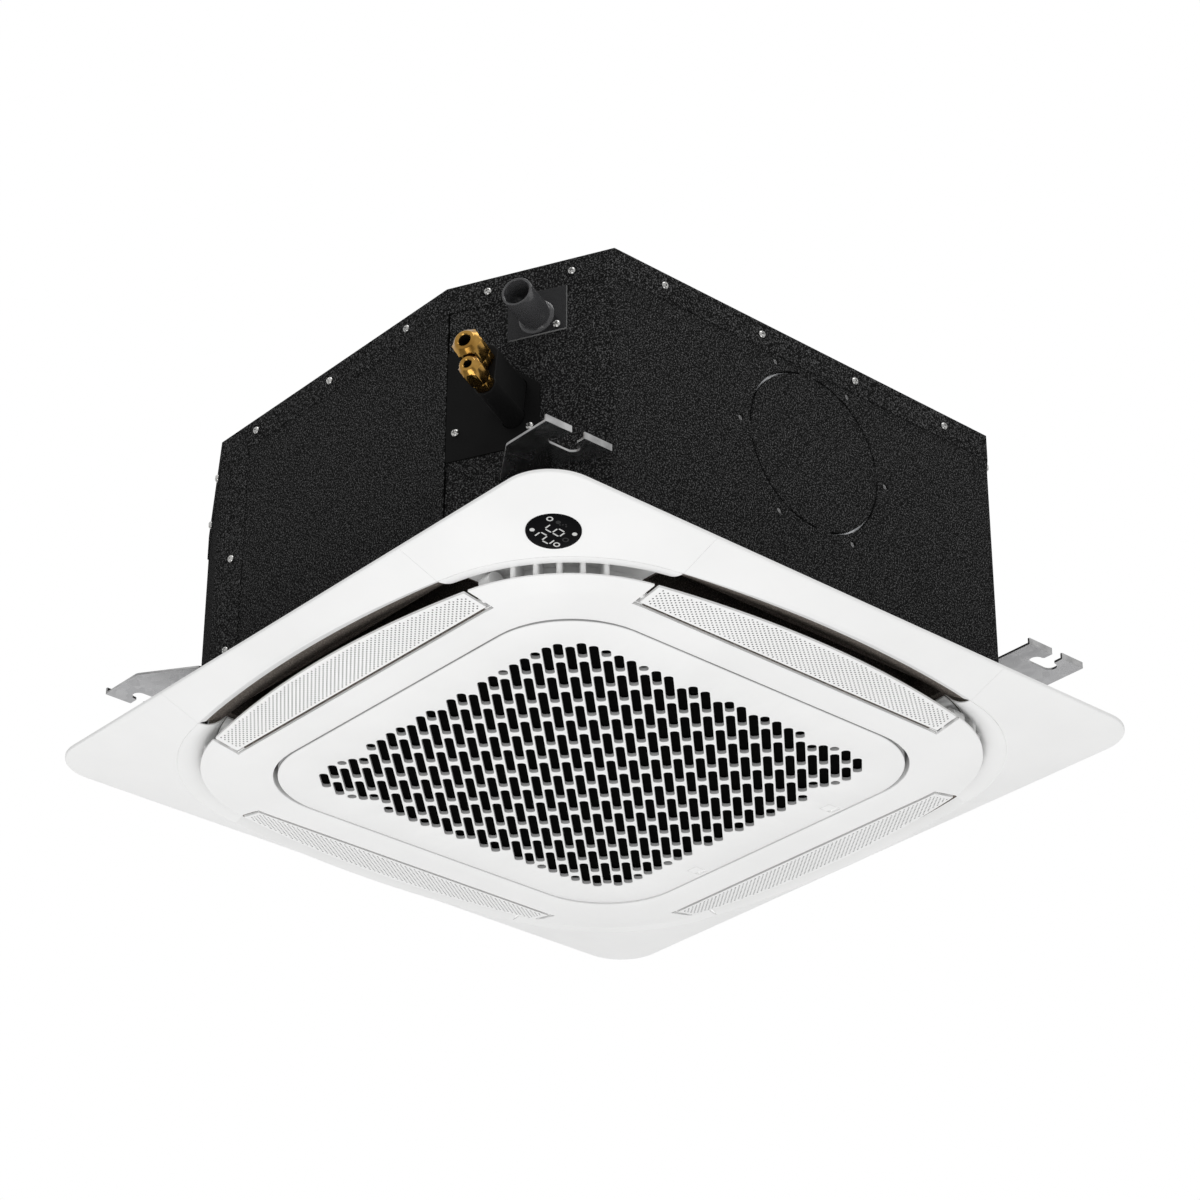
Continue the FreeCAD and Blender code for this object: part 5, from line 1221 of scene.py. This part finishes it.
    def ears(self) -> Surface:
        """The two pairs of ears that hold the hinge pins, standing on the plate's back.

        Returns:
            The closed surface.
        """
        x, z, spacing = self.panel.hinge()
        foot, half = self.panel.face_z + self.ear_foot, self.ear_half
        return merged([box((x - half, pin + edge, foot), (x + half, pin + edge + self.ear_wide, z + half))
                       for pin in (-spacing, spacing) for edge in self.ear_edges])

    def build(self) -> None:
        """The grille with its skirt and ears."""
        surface, inside = self.surface()
        plate = make_piece("grille_plate", surface, body="grille", closed=True)
        paint(plate, inside, WHITE, SLOT_WALL)
        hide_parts("return_grille")
        make_piece("grille_skirt", self.skirt(), body="grille", wall=self.skirt_wall, bevel=self.bevel)
        make_piece("grille_ears", self.ears(), body="grille", bevel=self.bevel, closed=True)


@dataclass
class Display:
    """The round window in the near corner cover, with two lit digits and small marks round them."""

    radius: float = 21.0
    thick: float = 2.8
    around: int = 72
    digit_high: float = 7.0
    digit_wide: float = 6.9
    stroke: float = 1.1
    trim: float = 0.35
    dim_size: float = 0.45
    low: float = 0.02
    high: float = 0.08
    mark_r: float = 2.6
    mark_hole: float = 1.6
    digits: tuple[tuple[str, float], ...] = (("abged", -10.2), ("afgedc", 1.6))
    lit_rings: tuple[tuple[float, float], ...] = ((-1.6, 14.9), (1.1, -15.4))
    lit_dots: tuple[tuple[float, float], ...] = ((-15.6, 2.9), (15.3, -3.9))
    dim_rings: tuple[tuple[float, float], ...] = ((8.1, -10.2),)
    dim_dots: tuple[tuple[float, float], ...] = ((4.3, 10.6),)
    dim_bars: tuple[tuple[str, float], ...] = (("afgcd", 10.6),)

    def axes(self) -> tuple[np.ndarray, np.ndarray]:
        """The window's outer centre and its frame: across, up on the window, and the way it looks.

        The window's height in the frame is its radius times twice the sine of its tilt, plus its thickness.

        Returns:
            A point and three unit rows.
        """
        low, high = node_box("display_lens")
        flat = np.array([-1.0, -1.0]) / ROOT_TWO
        tilt = math.asin(min(1.0, (high[2] - low[2] - self.thick) / (2 * self.radius)))
        look = np.array([*flat * math.sin(tilt), -math.cos(tilt)])
        up = np.array([*flat * math.cos(tilt), math.sin(tilt)])
        return (low + high) / 2 + look * self.thick / 2, np.stack([np.cross(up, look), up, look])

    def digit(self, letters: str, shift: float, size: float = 1.0) -> Surface:
        """A seven-bar digit of flat bars, turned an eighth of a turn so that it follows the panel's side.

        Args:
            letters: which bars are lit, by their usual letters.
            shift: how far along its line the digit stands.
            size: its size against the lit digits.

        Returns:
            The bars.
        """
        w, h, s = self.digit_wide / 2 * size, self.digit_high * size, self.stroke / 2
        ends = {"a": (-w, h, w, h), "b": (w, 0, w, h), "c": (w, -h, w, 0), "d": (-w, -h, w, -h),
                "e": (-w, -h, -w, 0), "f": (-w, 0, -w, h), "g": (-w, 0, w, 0)}
        bars = []
        for letter in letters:
            x0, y0, x1, y1 = ends[letter]
            more_x, more_y = (s, -self.trim - s) if x0 == x1 else (-self.trim - s, s)
            bars.append(box((x0 - more_x + shift, y0 - more_y, self.low),
                            (x1 + more_x + shift, y1 + more_y, self.high)))
        turn = np.array([[1.0, 1.0, 0], [-1.0, 1.0, 0], [0, 0, ROOT_TWO]]) / ROOT_TWO
        return merged(bars).placed(np.zeros(3), turn)

    def marks(self, rings: tuple[tuple[float, float], ...],
              dots: tuple[tuple[float, float], ...]) -> Surface:
        """Flat rings and slightly domed dots, each a small profile turned about its own centre.

        Args:
            rings: the rings' centres.
            dots: the dots' centres.

        Returns:
            All of them.
        """
        r, low, high = self.mark_r, self.low, self.high
        ring = washer(self.mark_hole, r, low, high, FEW)
        dot = lathe(np.array([[AXIS_R, low], [r * 0.75, low], [r * 0.7, high], [AXIS_R, high * 1.6]]), FEW)
        return merged([mark.placed(np.array([*place, 0]), np.eye(3))
                       for mark, places in ((ring, rings), (dot, dots)) for place in places])

    def build(self) -> None:
        """The window, its lit digits and marks, and its dim ones."""
        place, axes = self.axes()
        r = self.radius
        profile = np.array([[AXIS_R, -self.thick], [r - 0.3, -self.thick], [r, -2.5], [r, -0.5],
                            [r - 0.15, -0.15], [r - 0.5, 0], [r * 0.6, 0], [AXIS_R, 0]])
        lit = [self.marks(self.lit_rings, self.lit_dots), *(self.digit(*each) for each in self.digits)]
        dim = [self.marks(self.dim_rings, self.dim_dots),
               *(self.digit(*each, self.dim_size) for each in self.dim_bars)]
        made = [make_piece(name, merged(parts).placed(place, axes), finish, closed=True)
                for name, parts, finish in (("display_window", [lathe(profile, self.around)], LENS),
                                            ("display_digits", lit, DIGIT), ("display_marks", dim, DIM))]
        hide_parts("display_lens")


@dataclass
class Screws:
    """The pan-head screws of the body, each with a cross recess."""

    head_r: float = 3.4
    head_high: float = 2.4
    recess_r: float = 2.1
    recess_half: float = 0.5
    recess_deep: float = 1.1
    recess_side: float = 0.25
    recess_end: float = 0.5
    dome: float = 0.75
    end_band: float = 0.1
    turn: float = 2.4

    @staticmethod
    def line(face: bmesh.types.BMFace) -> tuple[float, ...]:
        """The line that a face looks along, either way."""
        return tuple(round(abs(value), 2) for value in face.normal)

    def places(self) -> list[tuple[np.ndarray, np.ndarray]]:
        """Where each screw's head ends and the way it looks, read from the frame's solids.

        A screw's line is the one that its flat faces look along most, and its head is at the wider end of it.

        Returns:
            Pairs of a point in millimetres and a unit direction.
        """
        work = bmesh.new()
        work.from_mesh(frame["nodes"]["casing_screws"].data)
        bmesh.ops.remove_doubles(work, verts=work.verts, dist=NODE_WELD)
        left = dict.fromkeys(work.faces)
        found = []
        while left:
            island, queue = [], [left.popitem()[0]]
            while queue:
                face = queue.pop()
                island.append(face)
                for near in (other for edge in face.edges for other in edge.link_faces):
                    if near in left:
                        del left[near]
                        queue.append(near)
            area: dict[tuple, float] = {}
            for face in island:
                key = self.line(face)
                area[key] = area.get(key, 0) + face.calc_area()
            line = max(area, key=area.get)
            way = np.array(next(face.normal for face in island if self.line(face) == line))
            points = np.array([vert.co for face in island for vert in face.verts]) / MM
            along = points @ way
            ends = (points[along > along.max() - self.end_band], points[along < along.min() + self.end_band])
            if np.ptp(ends[1], axis=0).max() > np.ptp(ends[0], axis=0).max():
                way, ends = -way, ends[::-1]
            found.append(((ends[0].min(axis=0) + ends[0].max(axis=0)) / 2, way))
        work.free()
        return found

    def head(self) -> Surface:
        """A pan head on local Z: its height falls off with the radius, less a cross-shaped recess.

        Returns:
            The surface with its top at zero.
        """
        share = np.concatenate([np.linspace(0.02, 0.62, 11), np.linspace(0.7, 1.0, 7)])[:, None]
        angle = angles(48)
        x, y = self.head_r * share * np.cos(angle), self.head_r * share * np.sin(angle)
        dome = -self.head_high * share ** 4 * self.dome + 0 * angle
        arm = np.minimum(np.abs(x), np.abs(y))
        sunk = np.clip((self.recess_half - arm) / self.recess_side, 0, 1)
        sunk *= np.clip((self.recess_r - np.hypot(x, y)) / self.recess_end, 0, 1)
        top = np.stack([x, y, dome - sunk * self.recess_deep], axis=-1)
        foot = top[-1:].copy()
        foot[..., 2] = -self.head_high
        return grid(np.concatenate([top, foot]), True)

    def build(self) -> None:
        """Every screw head as one piece."""
        head = self.head()
        heads = [head.placed(place, spun(self.turn * k) @ axes_along(way))
                 for k, (place, way) in enumerate(self.places())]
        piece = make_piece("screw_heads", merged(heads), ZINC)
        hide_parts("casing_screws")


@dataclass
class FlareFitting:
    """A brass union and its flare nut at the end of a pipe."""

    name: str
    across: float
    nose_r: float
    spigot_r: float
    nut_back: float = 15.52
    nut_long: float = 17.0
    nose: float = 4.0
    pocket: float = 10.0
    union_long: float = 10.0
    union_step: float = 2.0
    fit: float = 0.05
    nut_chamfer: float = 1.2
    union_chamfer: float = 0.8
    seat_share: float = 0.7
    around: int = 72

    def rows(self, r: np.ndarray, along: np.ndarray) -> np.ndarray:
        """Rows of points round the axis, from radii and places along it."""
        angle = angles(self.around)
        return np.stack([r * np.cos(angle), r * np.sin(angle), along + 0 * angle], axis=-1)

    def hexagon(self, across: float, low: float, high: float, chamfer: float) -> np.ndarray:
        """Rows of a six-sided barrel: at each angle the smaller of a hexagon's and a cone's radius.

        Args:
            across: the width across the flats.
            low: where it starts along the axis.
            high: where it ends.
            chamfer: how far the cones cut into its ends.

        Returns:
            Rows of points round the axis.
        """
        flat = across / 2 / np.cos(np.mod(angles(self.around), math.pi / 3) - math.pi / 6)
        along = np.array([low, low + chamfer, high - chamfer, high])[:, None]
        limit = across * np.array([0.5, 0.58, 0.58, 0.5])[:, None]
        return self.rows(np.minimum(flat, limit), along)

    def rings(self, *steps: tuple[float, float]) -> np.ndarray:
        """Round rows of points, from each row's radius and place along the axis."""
        return self.rows(*np.array(steps).T[..., None])

    def turned_piece(self, name: str, node: str, rows: list[np.ndarray], bore_rows: int) -> None:
        """Close rows of points into a ring, put it on the pipe's line and shade its bore.

        Args:
            name: the piece's name.
            node: the frame node that it stands for.
            rows: the rows, from the back round the outside to the bore.
            bore_rows: how many of the last rows line the bore.
        """
        place, way, _ = mount(self.name + "_line")
        ring = grid(np.concatenate([*rows, rows[0][:1]]), True).placed(place, axes_along(way))
        piece = make_piece(name, ring, BRASS, closed=True)
        count = len(piece.data.polygons)
        paint(piece, np.arange(count) >= count - bore_rows * self.around, BRASS, BORE)
        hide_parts(node)

    def build(self) -> None:
        """The nut and the union."""
        bore = mount(self.name + "_line")[2]["r_mm"]
        low, spigot, nose = -self.nut_back, self.spigot_r, self.nose_r
        high = low + self.nut_long
        top, deep = high + self.nose, low + self.pocket
        socket, floor = spigot + self.fit, deep + self.fit
        nut = [self.rings((socket, low)), self.hexagon(self.across, low, high, self.nut_chamfer),
               self.rings((self.across / 2 - 0.4, high + 0.3), (nose + 0.7, top - 0.6), (nose, top),
                          (bore + 0.7, top), (bore + 0.05, top - 0.7), (bore, top - 1.6), (bore, floor),
                          (socket, floor))]
        self.turned_piece(self.name + "_nut", self.name + "_flare_nut", nut, 4)
        start, seat = low - self.union_long, bore * self.seat_share
        union = [self.rings((seat, start)),
                 self.hexagon(self.across - self.union_step, start, low, self.union_chamfer),
                 self.rings((spigot, low), (spigot, deep), (seat, deep))]
        self.turned_piece(self.name + "_body", self.name + "_union", union, 1)


@dataclass
class Hangers:
    """The four slotted hangers: plated sheet whose sideways faces get a darker metal, and tabs painted black
    as painted shade against the body.
    """

    bevel: float = 0.35
    corner_r: float = 5.0
    sheet: float = 2.0
    slack: float = 0.1
    level_share: float = 0.7

    def build(self) -> None:
        """Each hanger with round corners, finished by the way its faces look and by how low they are."""
        bottom = mount("hanger_slots")[0][2] - self.sheet / 2
        for place in Corner:
            piece = smooth_copy("hanger_" + place.label, HANGER, self.bevel)
            round_corners(piece, np.array([0, 0, 1.0]), self.corner_r, self.sheet + self.slack)
            # Faces that look sideways get the darker metal.
            edge = np.abs(face_values(piece.data, "normal")[:, 2]) < self.level_share
            # The tab below the sheet, against the body, is painted black as painted shade.
            tab = face_values(piece.data, "center")[:, 2] / MM < bottom - self.slack
            paint(piece, np.where(tab, 2, edge), HANGER, SIDEWAYS_METAL, BLACK_SHEET_AND_SHADE)


@dataclass
class PipePort:
    """The near side of the body: the black plate, the sleeve, the smoky drain stub and the foam's joint."""

    plate_bevel: float = 0.25
    plate_corner_r: float = 6.0
    plate_thick: float = 1.5
    slack: float = 0.1
    sleeve_bevel: float = 0.8
    bore_r: float = 10.5
    tube_around: int = 64
    foot_r: float = 15.0
    foot: float = 2.0
    flange_wide: float = 50.0
    flange_high: float = 40.0
    flange_up: float = 4.0
    flange_thick: float = 2.0
    flange_gap: float = 0.02
    flange_bevel: float = 0.3
    edge_share: float = 0.5
    seat_low: float = -0.9
    seat_high: float = -0.5
    seat_r: float = 12.5
    seat_hole: float = 9.3
    seat_side: float = 8.6
    seat_up: float = 8.0
    joint_wide: float = 2.2
    joint_deep: float = 0.7
    joint_wall: float = 0.5
    joint_points: int = 120
    joint_ends: tuple[float, float] = (4.0, -1.0)

    def build_plate(self) -> None:
        """The plate with its corners rounded, and the sleeve."""
        plate = smooth_copy("pipe_cover_plate", BLACK_SHEET_AND_SHADE, self.plate_bevel)
        round_corners(plate, mount("drain_stub")[1], self.plate_corner_r, self.plate_thick + self.slack)
        smooth_copy("pipe_sleeve", RUBBER, self.sleeve_bevel)

    def build_stub(self) -> None:
        """The smoky tube turned from its wall's section, the sheet it stands on and a milky ring in it."""
        place, way, size = mount("drain_stub")
        axes = axes_along(way)
        base = place - way * (size["length_mm"] / 2 + self.foot)
        tip, r, hole, back = size["length_mm"] + self.foot, size["r_mm"], self.bore_r, -self.flange_thick
        section = np.array([[hole, back], [self.foot_r, back], [self.foot_r, 0.6], [self.foot_r - 0.7, 1.2],
                            [r + 0.8, 1.5], [r, self.foot + 0.6], [r, tip * 0.5], [r, tip - 0.6],
                            [r - 0.25, tip - 0.12], [r - 0.7, tip], [hole + 0.5, tip], [hole, tip - 0.5],
                            [hole, tip * 0.5], [hole, back]])
        tube = make_piece("drain_tube", lathe(section, self.tube_around).placed(base, axes), CLEAR,
                          closed=True)
        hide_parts("drain_outlet")
        wide, high, up = self.flange_wide / 2, self.flange_high / 2, self.flange_up
        sheet = box((-wide, up - high, back), (wide, up + high, -self.flange_gap))
        flange = make_piece("drain_flange", sheet.placed(base, axes), THIN_CLEAR,
                            bevel=self.flange_bevel, closed=True)
        # The clear sheet's edges get a painted highlight.
        sides = np.abs(face_values(flange.data, "normal") @ way) < self.edge_share
        paint(flange, sides, THIN_CLEAR, SHEET_EDGE_HIGHLIGHT)
        ring = washer(self.seat_hole, self.seat_r, self.seat_low, self.seat_high)
        middle = base + axes[0] * self.seat_side + axes[1] * self.seat_up
        make_piece("drain_seat_ring", ring.placed(middle, axes), HAZE, closed=True)

    def build_joint(self) -> None:
        """The dark joint where two sheets of foam meet: a strip whose edges wander as products of sines."""
        place, way, size = mount("drain_stub")
        low, high = node_box("outer_insulation")
        reach = place @ way - size["length_mm"] / 2 - self.foot - self.flange_thick + self.joint_deep
        start = np.array([low[0], (reach - low[0] * way[0]) / way[1]])
        run = np.array([-way[1], way[0]])
        z = np.linspace(low[2] + self.joint_ends[0], high[2] + self.joint_ends[1], self.joint_points)
        inner = 0.3 + 0.2 * np.sin(0.9 * z) * np.sin(0.23 * z)
        outer = self.joint_wide * (0.72 + 0.28 * np.sin(0.31 * z + 1) * np.sin(0.13 * z))
        rows = [np.column_stack([start + run * edge[:, None], z]) for edge in (inner, outer)]
        make_piece("foam_joint", grid(np.stack(rows)).facing(tuple(way)), JOINT,
                   wall=self.joint_wall)

    def build(self) -> None:
        """Every piece of the near side."""
        self.build_plate()
        self.build_stub()
        self.build_joint()


@dataclass
class Body:
    """The foam-clad body and everything in it, dressed as the frame has it."""

    latch_bevel: float = 0.4
    cup_deep: float = 0.9
    cup_gap: float = 0.05
    cup_wall: float = 0.3

    def build_duct_holes(self) -> None:
        """The pale cups in the six screw holes round the fresh-air disc, turned from a shallow section."""
        place, way, size = mount("fresh_air_duct")
        axes = axes_along(way)
        r, deep, turn = size["hole_r_mm"] - self.cup_gap, self.cup_deep, 2 * math.pi / size["count"]
        section = np.array([[r, -0.2], [r - 0.3, -0.3], [r - 0.35, 0.2 - deep], [r - 0.5, -deep],
                            [AXIS_R, -deep]])
        cup = lathe(section, FEW)
        shifts = (axes[0] * math.cos(turn * k) + axes[1] * math.sin(turn * k) for k in range(size["count"]))
        cups = merged([cup.placed(place + shift * size["pcd_mm"] / 2, axes) for shift in shifts])
        make_piece("duct_hole_cups", cups.facing(tuple(way)), HOLE_CUP,
                   wall=self.cup_wall)

    def build(self) -> None:
        """Finish every node of the frame, then put rounded copies over the latches."""
        for part in frame["record"]["subparts"]:
            node = part["node"]
            finish = NODE_FINISH.get(node, SLOT_FINISH[part["material_slot"]])
            dress(frame["nodes"][node], finish)
            LOG.info("%s: %s", node, finish.name)
        for node in ("grille_latch_left", "grille_latch_right"):
            smooth_copy(node, WHITE, self.latch_bevel)
        self.build_duct_holes()


@dataclass
class Studio:
    """Camera, lamps, floor and background."""

    eye: tuple[float, float, float] = (-1681.8, -1950.7, -1307.0)
    azimuth: float = -40.73
    pitch: float = 29.35
    roll: float = 0.28
    focal_px: float = 3471.8
    frame_px: float = 1200.0
    centre_px: tuple[float, float] = (588.8, 597.1)
    sensor: float = 36.0
    clip_end: float = 50.0
    floor_drop: float = 3000.0
    floor_half: float = 6000.0
    ambient: float = 0.55
    lamps: tuple[tuple[str, tuple[float, float, float], float, float], ...] = (
        ("key", (-0.9, -0.7, -2.5), 2.0, 44.0), ("fill", (1.6, -2.6, 0.4), 1.6, 5.0),
        ("top", (-0.6, -1.2, 2.6), 1.6, 25.0))

    def camera(self) -> None:
        """The camera that was fitted to the photograph."""
        data = bpy.data.cameras.new("camera")
        data.sensor_width = self.sensor
        data.lens = self.focal_px / self.frame_px * self.sensor
        data.shift_x = (self.frame_px / 2 - self.centre_px[0]) / self.frame_px
        data.shift_y = (self.centre_px[1] - self.frame_px / 2) / self.frame_px
        data.clip_end = self.clip_end
        made = linked("camera", data)
        turn, lift = math.radians(-self.azimuth), math.radians(self.pitch)
        way = Vector((math.sin(turn) * math.cos(lift), math.cos(turn) * math.cos(lift), math.sin(lift)))
        look = way.to_track_quat("-Z", "Y").to_matrix().to_4x4()
        roll = Matrix.Rotation(math.radians(self.roll), 4, "Z")
        made.matrix_world = Matrix.Translation(Vector(self.eye) * MM) @ look @ roll
        bpy.context.scene.camera = made

    def lamp(self, name: str, place: tuple[float, float, float], size: float, power: float) -> None:
        """A soft square lamp that looks at the object.

        Args:
            name: the lamp's name.
            place: where it is, in metres.
            size: its side in metres.
            power: its power in watts.
        """
        data = bpy.data.lights.new(name, "AREA")
        data.size = size
        data.energy = power
        made = linked(name, data)
        made.location = place
        made.rotation_euler = (-Vector(place)).to_track_quat("-Z", "Y").to_euler()

    def world(self) -> None:
        """White to the eye, in gloss and through glass, and softer as light."""
        world = bpy.data.worlds.new("studio")
        bpy.context.scene.world = world
        world.use_nodes = True
        tree = world.node_tree
        back = tree.nodes["Background"]
        rays = tree.nodes.new("ShaderNodeLightPath")
        seen = rays.outputs["Is Camera Ray"]
        for kind in ("Is Glossy Ray", "Is Transmission Ray"):
            either = add_node(tree, "Math", {0: seen, 1: rays.outputs[kind]})
            either.operation = "MAXIMUM"
            seen = either.outputs[0]
        level = add_node(tree, "MapRange", {"Value": seen, "To Min": self.ambient, "To Max": 1.0})
        set_inputs(tree, back, {"Color": (1, 1, 1, 1), "Strength": level.outputs["Result"]})

    def floor(self) -> None:
        """A plain pale floor, far below the hung part."""
        plan = np.array([[-1, -1], [1, -1], [1, 1], [-1, 1]]) * self.floor_half
        mesh = bpy.data.meshes.new("floor")
        mesh.from_pydata((at_height(plan, -self.floor_drop) * MM).tolist(), [], [(0, 1, 2, 3)])
        made = linked("floor", mesh)
        dress(made, FLOOR)

    def build(self) -> None:
        """The whole studio."""
        self.camera()
        for lamp in self.lamps:
            self.lamp(*lamp)
        self.world()
        self.floor()
        bpy.context.scene.view_settings.view_transform = "Standard"


def main() -> None:
    """Build every sub-assembly in order, logging each piece as it is made."""
    logging.basicConfig(level=logging.INFO, format="%(message)s")
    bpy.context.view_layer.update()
    Body().build()
    panel = Panel()
    panel.build()
    Flaps(panel).build()
    Grille(panel).build()
    Display().build()
    Screws().build()
    FlareFitting("gas", 22.0, 7.9, 7.5).build()
    FlareFitting("liquid", 17.0, 6.1, 5.8).build()
    Hangers().build()
    PipePort().build()
    Studio().build()


if __name__ == "__main__":
    main()
